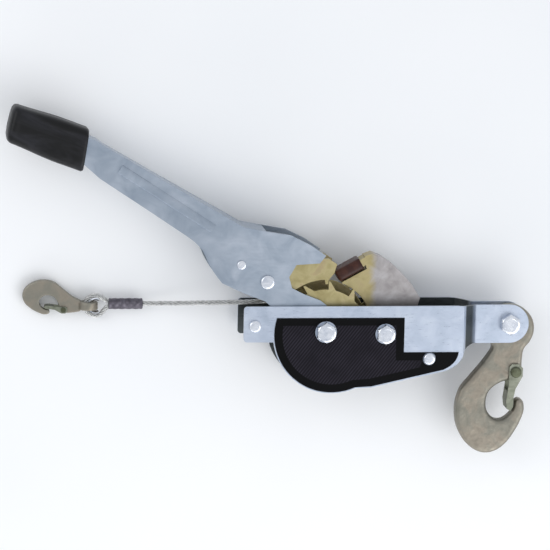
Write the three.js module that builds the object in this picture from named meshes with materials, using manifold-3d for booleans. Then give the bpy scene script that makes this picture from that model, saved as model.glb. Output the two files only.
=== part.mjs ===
// Hand ratchet cable puller, in millimetres, lying on its side: the drum axis is vertical (+Z),
// the neck with the big hook points along +X and the rope runs out along -X.
import * as THREE from 'three';
import { mergeVertices } from 'three/addons/utils/BufferGeometryUtils.js';
import Module from 'manifold-3d';

const wasm = await Module();
wasm.setup();

// ---------- driving sizes ----------
const touchGap = 0.3; // between pieces that rest on each other
const runGap = 0.35; // radial clearance of a bore that turns on a pin
const sideGap = 0.6; // between a turning piece and the plate beside it

const frameGap = 46; // between the insides of the two side plates
const plateThickness = 3;
const hookSideGap = 1; // between the front hook and each neck plate
const cheekThickness = 3;
const gearThickness = 4.8;
const labelThickness = 0.5;

const axleRadius = 6;
const pawlBoltRadius = 5;
const neckBoltRadius = 6;
const sleeveWall = 1.7;
const bushWall = 1.6;
const headHeight = 7.5;
const nutHeight = 8;
const lockWasherHeight = 2;
const boltTail = 1.6; // bolt end standing out of its nut

const pawlBoltX = 59;
const pawlBoltY = -2;
const neckBoltX = 185;
const neckBoltY = 5;
const neckEndRadius = 19;
const plateTop = 25.5;
const tailX = -81;
const tailBottom = -10;
const bellyX = 6.5;
const bellyY = -2.5;
const bellyRadius = 58.5;
const stepStart = 135; // where the plates begin to step in
const stepLength = 14;

const toothCount = 12;
const tipRadius = 49.3;
const rootRadius = 41;
const toothTurn = 11; // degrees from a tooth's steep face to the foot of its back
const toothLand = 2; // degrees of flat tip
const driveAngle = 87; // where the drive pawl meets a steep face
const stopAngle = driveAngle - 5 * (360 / toothCount);
const noseDepth = 3; // how far a pawl's nose reaches in below the tooth tips
const noseTurn = 3.5; // degrees

const ropeDiameter = 5;
const ropeLayers = 3;
const layerStep = 4.6;
const spoolRadius = 18;

const leverPinX = -58;
const leverPinY = 49;
const leverPinRadius = 4;
const drivePawlHub = 8;
const gripLength = 76;
const gripSlant = 8; // how much further its back reaches than its underside
const gripWall = 3.5; // of vinyl over the channel's sides
const gripCrown = 9.5; // of vinyl over its back and below its edges
const channelHeight = 26; // of the channel's end inside the grip
const channelWall = 3;
const gripMouth = new THREE.Vector2(-236, 176.3);
const gripSlope = THREE.MathUtils.degToRad(-22.4);
const armHalfWidth = 14; // of the channel beside the grip

const frontHookThickness = 16;
const hookRound = 3; // of the front hook's edges
const rearHookScale = 0.49;
const rearHookThickness = 8.5;
const rearEyeRadius = 9.8;
const rearEyeHole = 5.3;
const rearEyeX = -229;
const rearEyeY = 17.5;
const ferruleY = 19.2;
const ferruleRight = -175;
const ferruleLength = 34;
const ferruleRadius = 5.5;

// ---------- derived sizes ----------
const insideZ = frameGap / 2;
const outsideZ = insideZ + plateThickness;
const cheekOuterZ = insideZ - sideGap;
const cheekInnerZ = cheekOuterZ - cheekThickness;
const gearOuterZ = cheekInnerZ - sideGap;
const gearInnerZ = gearOuterZ - gearThickness;
const spoolHalf = gearInnerZ - touchGap;
const clawInnerZ = gearInnerZ + 0.2;
const clawOuterZ = gearOuterZ - 0.2;
const tabHalf = 9; // half thickness of the stop pawl's middle web
const webRadius = 48.5; // of the web's edge over the drum, clear of the rope at full tilt
const neckInsideZ = frontHookThickness / 2 + hookSideGap;
const neckOutsideZ = neckInsideZ + plateThickness;
const sleeveRadius = axleRadius + runGap + sleeveWall;
const bushRadius = sleeveRadius + runGap + bushWall;
const sleeveHalf = insideZ - touchGap;
const ropeRadius = ropeDiameter / 2;
const windingRadius = spoolRadius + touchGap + ropeDiameter + (ropeLayers - 1) * layerStep;
const clearRadius = tipRadius + 1.3; // pawl edges beside the tooth tips
const noseRadius = tipRadius - noseDepth;
const restHeight = outsideZ + touchGap + lockWasherHeight + touchGap + nutHeight + boltTail;
const toothPitch = 360 / toothCount;
const rearEyeZ = rearEyeRadius;
const gripHeight = channelHeight + 2 * gripCrown;
const gripWidth = 2 * (armHalfWidth + gripWall);

// ---------- materials ----------
const finish = (color, metalness, roughness) =>
  new THREE.MeshStandardMaterial({ color, metalness, roughness });
const zinc = finish(0xc3cad6, 0.9, 0.35);
const brightZinc = finish(0xdfe4ee, 0.95, 0.25);
const yellowZinc = finish(0xc9b873, 0.85, 0.4);
const forged = finish(0x9f977f, 0.8, 0.5);
const steel = finish(0xbdbdbd, 0.9, 0.4);
const darkSteel = finish(0x75707a, 0.8, 0.5);
const labelBlack = finish(0x17171a, 0.0, 0.5);
const gripVinyl = finish(0x16161a, 0.0, 0.6);
const padBrown = finish(0x4a2a1a, 0.1, 0.5);
const bronze = finish(0xa9824a, 0.9, 0.4);

const puller = new THREE.Group();
const frameLevel = new THREE.Group(); // holds what is measured from the middle of the frame
frameLevel.position.z = restHeight;
puller.add(frameLevel);

// ---------- helpers ----------
function solid(geometry) {
  const bare = geometry.clone();
  bare.deleteAttribute('normal');
  bare.deleteAttribute('uv');
  const merged = mergeVertices(bare, 1e-4);
  const mesh = new wasm.Mesh({
    numProp: 3,
    vertProperties: new Float32Array(merged.attributes.position.array),
    triVerts: new Uint32Array(merged.index.array),
  });
  return new wasm.Manifold(mesh);
}

function geometryOf(body) {
  const mesh = body.getMesh();
  const geometry = new THREE.BufferGeometry();
  geometry.setAttribute('position', new THREE.BufferAttribute(mesh.vertProperties, 3));
  geometry.setIndex(new THREE.BufferAttribute(mesh.triVerts, 1));
  return geometry;
}

function addPiece(name, shapeOrSolid, material, group = frameLevel) {
  const geometry = shapeOrSolid.isBufferGeometry ? shapeOrSolid : geometryOf(shapeOrSolid);
  const mesh = new THREE.Mesh(geometry, material);
  mesh.name = name;
  group.add(mesh);
  return mesh;
}

const at = (radius, degrees) => new THREE.Vector2(
  radius * Math.cos(THREE.MathUtils.degToRad(degrees)),
  radius * Math.sin(THREE.MathUtils.degToRad(degrees)),
);

const outline = (points) => new THREE.Shape(points.map(([x, y]) => new THREE.Vector2(x, y)));

function slab(shape, lowZ, highZ, curveSegments = 8) {
  const geometry = new THREE.ExtrudeGeometry(shape, {
    depth: highZ - lowZ, bevelEnabled: false, curveSegments,
  });
  geometry.translate(0, 0, lowZ);
  return geometry;
}

function disc(x, y, radius, lowZ, highZ, sides = 24) {
  const geometry = new THREE.CylinderGeometry(radius, radius, highZ - lowZ, sides);
  geometry.rotateX(Math.PI / 2);
  geometry.translate(x, y, (lowZ + highZ) / 2);
  return geometry;
}

const drilled = (body, x, y, radius, lowZ, highZ, sides = 24) =>
  body.subtract(solid(disc(x, y, radius, lowZ - 1, highZ + 1, sides)));

// A turned piece about a vertical axis: profile points are [radius, z].
function turned(x, y, profile, sides = 24) {
  const points = profile.map(([radius, z]) => new THREE.Vector2(radius, z));
  const geometry = new THREE.LatheGeometry(points, sides);
  geometry.rotateX(Math.PI / 2);
  geometry.translate(x, y, 0);
  return geometry;
}

function tube(x, y, inner, outer, lowZ, highZ, sides = 24) {
  const profile = [[inner, lowZ], [outer, lowZ], [outer, highZ], [inner, highZ], [inner, lowZ]];
  return turned(x, y, profile, sides);
}

// A hexagon across its flats, with the corners of the outer face turned off.
function hexBlock(x, y, acrossFlats, baseZ, faceZ) {
  const corner = acrossFlats / Math.sqrt(3);
  const hex = disc(0, 0, corner, Math.min(baseZ, faceZ), Math.max(baseZ, faceZ), 6);
  const bevel = 1.2 * Math.sign(faceZ - baseZ);
  const cap = turned(0, 0, [
    [0, baseZ], [corner + 0.1, baseZ], [corner + 0.1, faceZ - bevel], [corner * 0.88, faceZ], [0, faceZ],
  ], 18);
  const body = solid(hex).intersect(facingOut(cap));
  return body.translate([x, y, 0]);
}

// A turned profile that runs downwards comes out inside out, so its triangles are flipped.
function facingOut(geometry) {
  const body = solid(geometry);
  if (body.volume() > 0) return body;
  const flipped = geometry.clone();
  const index = flipped.index.array;
  for (let i = 0; i < index.length; i += 3) {
    [index[i], index[i + 1]] = [index[i + 1], index[i]];
  }
  return solid(flipped);
}

function bolt(name, x, y, radius, acrossFlats, seatZ, endZ) {
  const headBase = seatZ + touchGap;
  const head = hexBlock(x, y, acrossFlats, headBase, headBase + headHeight);
  const shank = solid(disc(x, y, radius, endZ, headBase + 0.5));
  addPiece(name, head.add(shank), brightZinc);
}

function nutAndWasher(stem, x, y, radius, acrossFlats, seatZ) {
  const washerTop = -seatZ - touchGap;
  const washerBottom = washerTop - lockWasherHeight;
  addPiece(`${stem}_lock_washer`, tube(x, y, radius + touchGap, acrossFlats * 0.5,
    washerBottom, washerTop), darkSteel);
  const nutTop = washerBottom - touchGap;
  const nut = hexBlock(x, y, acrossFlats, nutTop, nutTop - nutHeight);
  addPiece(`${stem}_nut`, drilled(nut, x, y, radius + touchGap, nutTop - nutHeight, nutTop), zinc);
}

// A rivet with a low head at each end of its shank.
function rivet(name, x, y, radius, headRadius, seatZ, rivetHead, material = brightZinc) {
  const seat = seatZ + touchGap;
  const top = seat + rivetHead;
  addPiece(name, turned(x, y, [
    [0, -top], [headRadius * 0.6, -top], [headRadius, -seat - rivetHead * 0.4], [headRadius, -seat],
    [radius, -seat], [radius, seat],
    [headRadius, seat], [headRadius, seat + rivetHead * 0.4], [headRadius * 0.6, top], [0, top],
  ], 18), material);
}

// Round wire along a path of [x, y, z] points.
function wire(points, diameter, steps, sides = 8) {
  const path = new THREE.CatmullRomCurve3(points.map((p) => new THREE.Vector3(...p)));
  const section = new THREE.Shape(
    Array.from({ length: sides }, (_, i) => at(diameter / 2, (i * 360) / sides)),
  );
  return new THREE.ExtrudeGeometry(section, { steps, extrudePath: path, bevelEnabled: false });
}

// ---------- frame ----------
const frameHoles = [
  { x: 0, y: 0, radius: axleRadius },
  { x: pawlBoltX, y: pawlBoltY, radius: pawlBoltRadius },
  { x: neckBoltX, y: neckBoltY, radius: neckBoltRadius },
];
const tailRivet = { x: -70, y: 6, radius: 3.5 };
const tieRivet = { x: 103, y: -27, radius: 3.5 };
const spacerRadius = 5.8;
const largeHead = 18; // bolt heads, across their flats
const pawlHead = 17;
const rivetLip = 2.5; // of a rivet's head past its shank
const labelClearance = 0.4; // round each bolt or rivet head
const neckTop = neckBoltY + neckEndRadius;
const neckBottom = neckBoltY - neckEndRadius;

function bellyPoint(degrees, inset = 0) {
  const point = at(bellyRadius - inset, degrees);
  return [bellyX + point.x, bellyY + point.y];
}

function sidePlateShape() {
  const shape = new THREE.Shape();
  shape.moveTo(tailX + 4, plateTop);
  shape.lineTo(stepStart - 5, plateTop);
  shape.lineTo(stepStart + stepLength, neckTop);
  shape.lineTo(neckBoltX, neckTop);
  shape.absarc(neckBoltX, neckBoltY, neckEndRadius, Math.PI / 2, -Math.PI / 2, true);
  shape.lineTo(stepStart + stepLength - 2, neckBottom);
  shape.quadraticCurveTo(stepStart + 4, neckBottom - 2, stepStart + 3, -20);
  shape.quadraticCurveTo(stepStart, -34, 118, -39.5);
  shape.lineTo(46, -55.5);
  shape.absarc(bellyX, bellyY, bellyRadius, THREE.MathUtils.degToRad(-66),
    THREE.MathUtils.degToRad(-172.6), true);
  shape.lineTo(tailX + 4, tailBottom);
  shape.quadraticCurveTo(tailX, tailBottom, tailX, tailBottom + 4);
  shape.lineTo(tailX, plateTop - 4);
  shape.quadraticCurveTo(tailX, plateTop, tailX + 4, plateTop);
  return shape;
}

// The plate seen from above: flat along the body, stepped in to the neck.
function steppedStrip() {
  const far = neckBoltX + neckEndRadius + 10;
  const near = tailX - 10;
  const stepEnd = stepStart + stepLength;
  const strip = outline([
    [near, insideZ], [stepStart, insideZ], [stepEnd, neckInsideZ], [far, neckInsideZ],
    [far, neckOutsideZ], [stepEnd + 1.5, neckOutsideZ], [stepStart + 1.5, outsideZ], [near, outsideZ],
  ]);
  const geometry = slab(strip, -100, 100);
  geometry.rotateX(Math.PI / 2);
  return solid(geometry);
}

function addSidePlates() {
  let plate = solid(slab(sidePlateShape(), 0, outsideZ + 5, 12)).intersect(steppedStrip());
  for (const hole of [...frameHoles, tailRivet, tieRivet]) {
    plate = drilled(plate, hole.x, hole.y, hole.radius + touchGap, 0, outsideZ + 5, 20);
  }
  addPiece('side_plate_upper', plate, zinc);
  addPiece('side_plate_lower', plate.mirror([0, 0, 1]), zinc);
}

function addLabels() {
  const inset = 1;
  const step = [77.5, -20.4];
  const shape = new THREE.Shape();
  const start = bellyPoint(163.3, inset);
  shape.moveTo(...start);
  shape.lineTo(step[0], start[1]);
  shape.lineTo(...step);
  shape.lineTo(stepStart - 3, step[1]);
  shape.quadraticCurveTo(stepStart - 4, -32, 117, -38);
  shape.lineTo(46, -54.2);
  shape.absarc(bellyX, bellyY, bellyRadius - inset, THREE.MathUtils.degToRad(-66),
    THREE.MathUtils.degToRad(-196.7), true);
  const low = outsideZ + touchGap;
  let label = solid(slab(shape, low, low + labelThickness, 12));
  const cutouts = [
    [0, 0, largeHead / Math.sqrt(3)],
    [pawlBoltX, pawlBoltY, pawlHead / Math.sqrt(3)],
    [tieRivet.x, tieRivet.y, tieRivet.radius + rivetLip],
  ];
  for (const [x, y, radius] of cutouts) {
    label = drilled(label, x, y, radius + labelClearance, low, low + labelThickness, 20);
  }
  addPiece('side_label_upper', label, labelBlack);
  addPiece('side_label_lower', label.mirror([0, 0, 1]), labelBlack);
}

function addFrameFasteners() {
  const stackBelow = touchGap + lockWasherHeight + touchGap + nutHeight + boltTail;
  bolt('axle_bolt', 0, 0, axleRadius, largeHead, outsideZ, -outsideZ - stackBelow);
  nutAndWasher('axle', 0, 0, axleRadius, largeHead, outsideZ);
  bolt('pawl_bolt', pawlBoltX, pawlBoltY, pawlBoltRadius, pawlHead, outsideZ,
    -outsideZ - stackBelow);
  nutAndWasher('pawl', pawlBoltX, pawlBoltY, pawlBoltRadius, pawlHead, outsideZ);
  bolt('neck_bolt', neckBoltX, neckBoltY, neckBoltRadius, largeHead, neckOutsideZ,
    -neckOutsideZ - stackBelow);
  nutAndWasher('neck', neckBoltX, neckBoltY, neckBoltRadius, largeHead, neckOutsideZ);
  addPiece('axle_sleeve', tube(0, 0, axleRadius + runGap, sleeveRadius, -sleeveHalf, sleeveHalf), steel);
  for (const [stem, place] of [['tail', tailRivet], ['tie', tieRivet]]) {
    rivet(`${stem}_rivet`, place.x, place.y, place.radius, place.radius + rivetLip, outsideZ, 2.6);
    addPiece(`${stem}_spacer`, tube(place.x, place.y, place.radius + runGap, spacerRadius,
      -sleeveHalf, sleeveHalf, 16), steel);
  }
}

// ---------- drum ----------
function ratchetShape() {
  const points = [];
  for (let tooth = 0; tooth < toothCount; tooth += 1) {
    const face = driveAngle + tooth * toothPitch;
    points.push(at(rootRadius, face - toothTurn));
    points.push(at(tipRadius, face - toothLand));
    points.push(at(tipRadius, face));
    points.push(at(rootRadius, face - 0.6));
    for (const share of [0.33, 0.67]) {
      points.push(at(rootRadius, face + share * (toothPitch - toothTurn)));
    }
  }
  return new THREE.Shape(points);
}

function addDrum() {
  const bore = bushRadius + touchGap;
  const rivetCircle = (bore + spoolRadius) / 2;
  const rivetRadius = 1.7;
  const places = [90, 210, 330].map((degrees) => at(rivetCircle, degrees));
  let core = solid(tube(0, 0, bore, spoolRadius, -spoolHalf, spoolHalf));
  let wheel = solid(slab(ratchetShape(), gearInnerZ, gearOuterZ));
  wheel = drilled(wheel, 0, 0, bore, gearInnerZ, gearOuterZ);
  places.forEach((place, i) => {
    core = drilled(core, place.x, place.y, rivetRadius + touchGap, -spoolHalf, spoolHalf, 12);
    wheel = drilled(wheel, place.x, place.y, rivetRadius + touchGap, gearInnerZ, gearOuterZ, 12);
    addPiece(`drum_rivet_${i + 1}`,
      disc(place.x, place.y, rivetRadius, -gearOuterZ, gearOuterZ, 12), steel);
  });
  addPiece('drum_core', core, steel);
  addPiece('ratchet_wheel_upper', wheel, yellowZinc);
  addPiece('ratchet_wheel_lower', wheel.mirror([0, 0, 1]), yellowZinc);
  addPiece('drum_bush', tube(0, 0, sleeveRadius + runGap, bushRadius, -gearOuterZ, gearOuterZ), bronze);
  addPiece('rope_winding', tube(0, 0, spoolRadius + touchGap, windingRadius,
    -spoolHalf + touchGap, spoolHalf - touchGap, 32), steel);
}

// ---------- lever ----------
const anchorPin = { x: -84, y: 66, radius: 2.5 };

function gripPoint(along, across) {
  const direction = new THREE.Vector2(-Math.cos(gripSlope), -Math.sin(gripSlope));
  const up = new THREE.Vector2(-Math.sin(gripSlope), Math.cos(gripSlope));
  return [
    gripMouth.x + direction.x * along + up.x * across,
    gripMouth.y + direction.y * along + up.y * across,
  ];
}

const channelEnd = gripLength - 10; // how far the channel reaches into the grip
const leverTop = [
  gripPoint(channelEnd, channelHeight / 2), gripPoint(-6, channelHeight / 2),
  [-218, 180.8], [-82, 103], [-60, 99],
];

function leverSideShape() {
  const shape = outline([
    ...leverTop, [-36, 95], [-16.6, 85.5], [-1, 75], [-7, 67.5], [-30, 66], [-37, 54], [-34, 43],
    [-22, 37], [-5.6, 30.7], [9.4, 18.7],
  ]);
  const hubRadius = 18;
  shape.absarc(0, 0, hubRadius, THREE.MathUtils.degToRad(55), THREE.MathUtils.degToRad(-140), true);
  shape.lineTo(-60, 30);
  shape.lineTo(-82.6, 38.7);
  shape.lineTo(-102.6, 48);
  shape.quadraticCurveTo(-113, 60, -118.6, 73);
  shape.quadraticCurveTo(-123, 84, -135.6, 92.5);
  shape.lineTo(-222.6, 149.5);
  shape.lineTo(...gripPoint(-3, -channelHeight / 2));
  shape.lineTo(...gripPoint(channelEnd, -channelHeight / 2));
  return shape;
}

// The channel from above: wide over the drum, narrow at the grip.
function leverPlan(offset, farX, nearX) {
  const wide = cheekOuterZ - offset;
  const narrow = armHalfWidth - offset;
  const geometry = slab(outline([
    [nearX, -wide], [nearX, wide], [-98, wide], [-175, narrow], [farX, narrow],
    [farX, -narrow], [-175, -narrow], [-98, -wide],
  ]), -300, 100);
  geometry.rotateX(Math.PI / 2);
  return solid(geometry);
}

function leverCavity() {
  const below = leverTop.map(([x, y]) => [x, y - channelWall * 1.14]);
  const start = below[0];
  const end = below[below.length - 1];
  const room = outline([
    [start[0] - 40, start[1] + 16], ...below, [end[0], 200], [60, 200], [60, -100], [start[0] - 40, -100],
  ]);
  const wall = solid(slab(room, -insideZ, insideZ));
  return wall.intersect(leverPlan(channelWall, -400, 100));
}

function addLever() {
  let lever = solid(slab(leverSideShape(), -cheekOuterZ, cheekOuterZ, 14));
  lever = lever.intersect(leverPlan(0, -390, 90)).subtract(leverCavity());
  lever = drilled(lever, 0, 0, sleeveRadius + runGap, -insideZ, insideZ);
  lever = drilled(lever, leverPinX, leverPinY, leverPinRadius + touchGap, -insideZ, insideZ, 20);
  lever = drilled(lever, anchorPin.x, anchorPin.y, anchorPin.radius + touchGap, -insideZ, insideZ, 16);
  addPiece('lever_arm', lever, zinc);
  rivet('drive_pawl_pin', leverPinX, leverPinY, leverPinRadius, leverPinRadius + 3, cheekOuterZ, 2.2);
  rivet('spring_anchor_pin', anchorPin.x, anchorPin.y, anchorPin.radius, anchorPin.radius + 2,
    cheekOuterZ, 1.6);
}

function addGrip() {
  const round = 6;
  const half = gripHeight / 2 - round;
  const shape = outline([
    [round, -half], [round, half], [gripLength - round, half + 1],
    [gripLength + gripSlant - round, -half - 1],
  ]);
  const geometry = new THREE.ExtrudeGeometry(shape, {
    depth: gripWidth - 2 * round, bevelThickness: round, bevelSize: round, bevelSegments: 3, steps: 1,
  });
  geometry.translate(0, 0, round - gripWidth / 2);
  const fit = 0.4;
  const pocket = new THREE.BoxGeometry(channelEnd + 21, channelHeight + 2 * fit, 2 * (armHalfWidth + fit));
  pocket.translate((channelEnd + 21) / 2 - 20, 0, 0);
  const grip = solid(geometry).subtract(solid(pocket));
  const turn = THREE.MathUtils.radToDeg(gripSlope) + 180;
  const placed = grip.rotate([0, 0, turn]).translate([gripMouth.x, gripMouth.y, 0]);
  addPiece('handle_grip', placed, gripVinyl);
}

// ---------- pawls ----------
function bothClaws(shape) {
  const claw = solid(slab(shape, clawInnerZ, clawOuterZ, 14));
  return claw.add(claw.mirror([0, 0, 1]));
}

const point = (vector) => [vector.x, vector.y];

function addDrivePawl() {
  const claw = outline([
    [leverPinX, leverPinY - drivePawlHub], [-50, 41.5], point(at(clearRadius + 0.6, 128)),
  ]);
  claw.absarc(0, 0, clearRadius, THREE.MathUtils.degToRad(122),
    THREE.MathUtils.degToRad(driveAngle + noseTurn + 1), true);
  for (const [x, y] of [
    point(at(noseRadius, driveAngle + noseTurn)), point(at(noseRadius, driveAngle + 0.4)),
    point(at(clearRadius, driveAngle + 0.2)), [8, 57], [10.5, 66], [2, 71.5], [-28, 69.5],
    [leverPinX + 6, leverPinY + drivePawlHub + 1], [leverPinX, leverPinY + drivePawlHub],
  ]) {
    claw.lineTo(x, y);
  }
  const hub = solid(disc(leverPinX, leverPinY, drivePawlHub, -clawOuterZ, clawOuterZ));
  const web = outline([[-50, 57.5], [-44, 64], [-40, 65], [-38, 61], [-46, 54.5]]);
  let pawl = bothClaws(claw).add(hub).add(solid(slab(web, -clawOuterZ, clawOuterZ)));
  pawl = drilled(pawl, leverPinX, leverPinY, leverPinRadius + runGap, -clawOuterZ, clawOuterZ, 20);
  addPiece('drive_pawl', pawl, yellowZinc);
}

const padAxis = { from: [13.5, 52.5], to: [43, 69] };

function barShape(halfWidth, nearCut, farCut) {
  const start = new THREE.Vector2(...padAxis.from);
  const end = new THREE.Vector2(...padAxis.to);
  const along = end.clone().sub(start).normalize();
  const across = new THREE.Vector2(-along.y, along.x).multiplyScalar(halfWidth);
  const low = start.clone().addScaledVector(along, nearCut);
  const high = end.clone().addScaledVector(along, farCut);
  return new THREE.Shape([
    low.clone().sub(across), high.clone().sub(across), high.clone().add(across), low.clone().add(across),
  ]);
}

function addStopPawl() {
  const hubRadius = 8.3;
  const claw = outline([[pawlBoltX + 5, pawlBoltY - 6.5], [58.5, -24], [43, -43], [26.5, -50.5]]);
  for (const [x, y] of [
    point(at(clearRadius, stopAngle + 0.2)), point(at(noseRadius, stopAngle + 0.4)),
    point(at(noseRadius, stopAngle + noseTurn)), point(at(clearRadius, stopAngle + noseTurn + 1)),
  ]) {
    claw.lineTo(x, y);
  }
  claw.absarc(0, 0, clearRadius, THREE.MathUtils.degToRad(stopAngle + noseTurn + 2),
    THREE.MathUtils.degToRad(-12), false);
  claw.lineTo(pawlBoltX - 5, pawlBoltY + 6);
  const hump = outline([
    [51.5, 0], [48.5, 14], [47, 46], [41, 61], [40.5, 63.5], [39, 72], [47, 75], [56, 71.5], [66, 65],
    [76, 56], [86, 45], [95, 31], [92, 20], [80, 9], [66.5, -5],
  ]);
  const web = outline([[52, 12], [50, 60], [46, 62.2], point(at(webRadius + 1.2, 69.5))]);
  web.absarc(0, 0, webRadius, THREE.MathUtils.degToRad(69), THREE.MathUtils.degToRad(18), true);
  const hub = solid(disc(pawlBoltX, pawlBoltY, hubRadius, -clawOuterZ, clawOuterZ));
  let pawl = bothClaws(claw).add(hub);
  pawl = pawl.add(solid(slab(hump, -tabHalf, tabHalf))).add(solid(slab(web, -tabHalf, tabHalf)));
  pawl = pawl.add(solid(slab(barShape(3.6, 2, 3), -tabHalf, tabHalf)));
  pawl = drilled(pawl, pawlBoltX, pawlBoltY, pawlBoltRadius + runGap, -clawOuterZ, clawOuterZ, 24);
  addPiece('stop_pawl', pawl, yellowZinc);
  const pocket = solid(slab(barShape(3.6 + touchGap, 2 - touchGap, 3), -tabHalf - touchGap,
    tabHalf + touchGap));
  const pad = solid(slab(barShape(6.2, -1.5, -7), -tabHalf - 2.4, tabHalf + 2.4)).subtract(pocket);
  addPiece('thumb_pad', pad, padBrown);
}

// A torsion spring about a vertical pin: it comes in from one leg's end, turns and leaves by the other.
function torsionSpring(name, spring) {
  const { x, y, lowZ, coilRadius, wireSize, fromAngle, toAngle, inLeg, outLeg } = spring;
  const stepAngle = 36;
  const count = Math.round((toAngle - fromAngle) / stepAngle);
  const rise = wireSize * 1.12; // per turn
  const heightAt = (angle) => lowZ + wireSize / 2 + ((angle - fromAngle) / 360) * rise;
  const points = [[...inLeg, heightAt(fromAngle)]];
  for (let i = 0; i <= count; i += 1) {
    const angle = fromAngle + (i * (toAngle - fromAngle)) / count;
    const turn = at(coilRadius, angle);
    points.push([x + turn.x, y + turn.y, heightAt(angle)]);
  }
  points.push([...outLeg, heightAt(toAngle)]);
  addPiece(name, wire(points, wireSize, count + 8, 6), steel);
}

function addPawlSprings() {
  torsionSpring('drive_pawl_spring', {
    x: leverPinX, y: leverPinY, lowZ: 4, coilRadius: drivePawlHub + 1.5, wireSize: 1.5,
    fromAngle: 219, toAngle: 350 + 360, inLeg: [anchorPin.x + 4, anchorPin.y - 5], outLeg: [-47.8, 51.5],
  });
  torsionSpring('stop_pawl_spring', {
    x: pawlBoltX, y: pawlBoltY, lowZ: clawOuterZ + 0.4, coilRadius: pawlBoltRadius + 2, wireSize: 1.2,
    fromAngle: 180, toAngle: 360 + 270, inLeg: [51.5, 9], outLeg: [72, -10],
  });
}

// ---------- hooks ----------
// A hook that hangs along -Y from its eye at the origin, drawn at the front hook's size.
function hookShape(withEye, size) {
  const p = (x, y) => new THREE.Vector2(x * size, y * size);
  const eyeRadius = 24;
  const eyeCentre = p(2, -6); // the eye is set low, so it stands flush with the neck's top
  const leftJoin = 222; // degrees round the eye where the shank's two sides meet it
  const rightJoin = 323;
  const onEye = (degrees) => eyeCentre.clone().add(at(eyeRadius * size, degrees));
  const left = withEye ? onEye(leftJoin) : p(-11, -15);
  const shape = new THREE.Shape();
  shape.moveTo(left.x, left.y);
  shape.splineThru([p(-16, -27), p(-24, -39), p(-38, -56), p(-47, -68), p(-51, -86), p(-49, -103),
    p(-41, -119), p(-29, -129), p(-16, -131), p(-3, -125), p(9, -110), p(17, -93), p(18, -84),
    p(16, -78), p(12, -76.5), p(9, -79), p(7.5, -86), p(3, -93), p(-4, -97.5), p(-12, -96.5),
    p(-19, -89), p(-20.5, -78), p(-17, -68), p(-8, -61), p(3, -57)]);
  shape.absarc(p(8, 0).x, p(0, -49).y, 7.5 * size, -1.5, 0.5, false);
  shape.splineThru([p(14.5, -38), withEye ? p(16, -27) : p(13, -26),
    withEye ? onEye(rightJoin) : p(11, -15)]);
  if (withEye) {
    const turn = THREE.MathUtils.degToRad;
    shape.absarc(eyeCentre.x, eyeCentre.y, eyeRadius * size, turn(rightJoin - 360 + 8),
      turn(leftJoin - 8), false);
  }
  return shape;
}

function roundedSlab(shape, thickness, round) {
  const geometry = new THREE.ExtrudeGeometry(shape, {
    depth: thickness - 2 * round, bevelThickness: round, bevelSize: round, bevelOffset: -round,
    bevelSegments: 1, curveSegments: 3,
  });
  geometry.translate(0, 0, round - thickness / 2);
  return geometry;
}

const latchPivot = [8, -49]; // from the eye, at the front hook's size

// Each hook carries a sprung latch on a rivet, all in one group.
function addHook(stem, group, size, thickness, body) {
  const [pivotX, pivotY] = latchPivot.map((value) => value * size);
  const pinRadius = 3.2 * size;
  const half = thickness / 2;
  const leaf = Math.max(1.2, 2 * size);
  const latchGap = 0.4;
  const cheek = half + latchGap + leaf;
  addPiece(`${stem}_hook`, drilled(body, pivotX, pivotY, pinRadius + touchGap, -half, half, 16),
    forged, group);
  const p = (x, y) => new THREE.Vector2(x * size, y * size);
  const latchShape = new THREE.Shape([
    p(1.5, -44), p(4, -41), p(11, -41), p(15, -45), p(15, -53), p(8, -66), p(6.5, -74), p(6, -84),
    p(3.5, -88), p(0, -86), p(-1, -78), p(1, -64),
  ]);
  const slot = new THREE.BoxGeometry(60 * size, 32 * size, 2 * (half + latchGap));
  slot.translate(pivotX, pivotY - 3.5 * size, 0);
  let latch = solid(slab(latchShape, -cheek, cheek)).subtract(solid(slot));
  latch = drilled(latch, pivotX, pivotY, pinRadius + touchGap, -cheek, cheek, 16);
  addPiece(`${stem}_latch`, latch, zinc, group);
  const head = cheek + touchGap;
  const headHeightHere = 1.6 * size + 0.4;
  const headRadius = pinRadius * 1.7;
  addPiece(`${stem}_latch_pin`, turned(pivotX, pivotY, [
    [0, -head - headHeightHere], [headRadius, -head - headHeightHere], [headRadius, -head],
    [pinRadius, -head], [pinRadius, head],
    [headRadius, head], [headRadius, head + headHeightHere], [0, head + headHeightHere],
  ], 18), brightZinc, group);
}

function addFrontHook() {
  const group = new THREE.Group();
  group.position.set(neckBoltX, neckBoltY, 0);
  frameLevel.add(group);
  let body = solid(roundedSlab(hookShape(true, 1), frontHookThickness, hookRound));
  body = drilled(body, 0, 0, neckBoltRadius + runGap, -frontHookThickness, frontHookThickness);
  addHook('front', group, 1, frontHookThickness, body);
}

const rearTilt = THREE.MathUtils.degToRad(4.4); // the hook's tip end lies down on the floor

function addRearHook() {
  const group = new THREE.Group();
  group.position.set(rearEyeX, rearEyeY, rearEyeZ);
  group.rotation.set(0, -rearTilt, -Math.PI / 2, 'YXZ');
  puller.add(group);
  const size = rearHookScale;
  const ringWidth = 8;
  const body = solid(roundedSlab(hookShape(false, size), rearHookThickness, hookRound * size));
  const ring = disc(0, 0, rearEyeRadius, -ringWidth / 2, ringWidth / 2, 28);
  ring.rotateY(Math.PI / 2);
  const bore = disc(0, 0, rearEyeHole, -ringWidth, ringWidth, 24);
  bore.rotateY(Math.PI / 2);
  addHook('rear', group, size, rearHookThickness, body.add(solid(ring)).subtract(solid(bore)));
}

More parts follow.
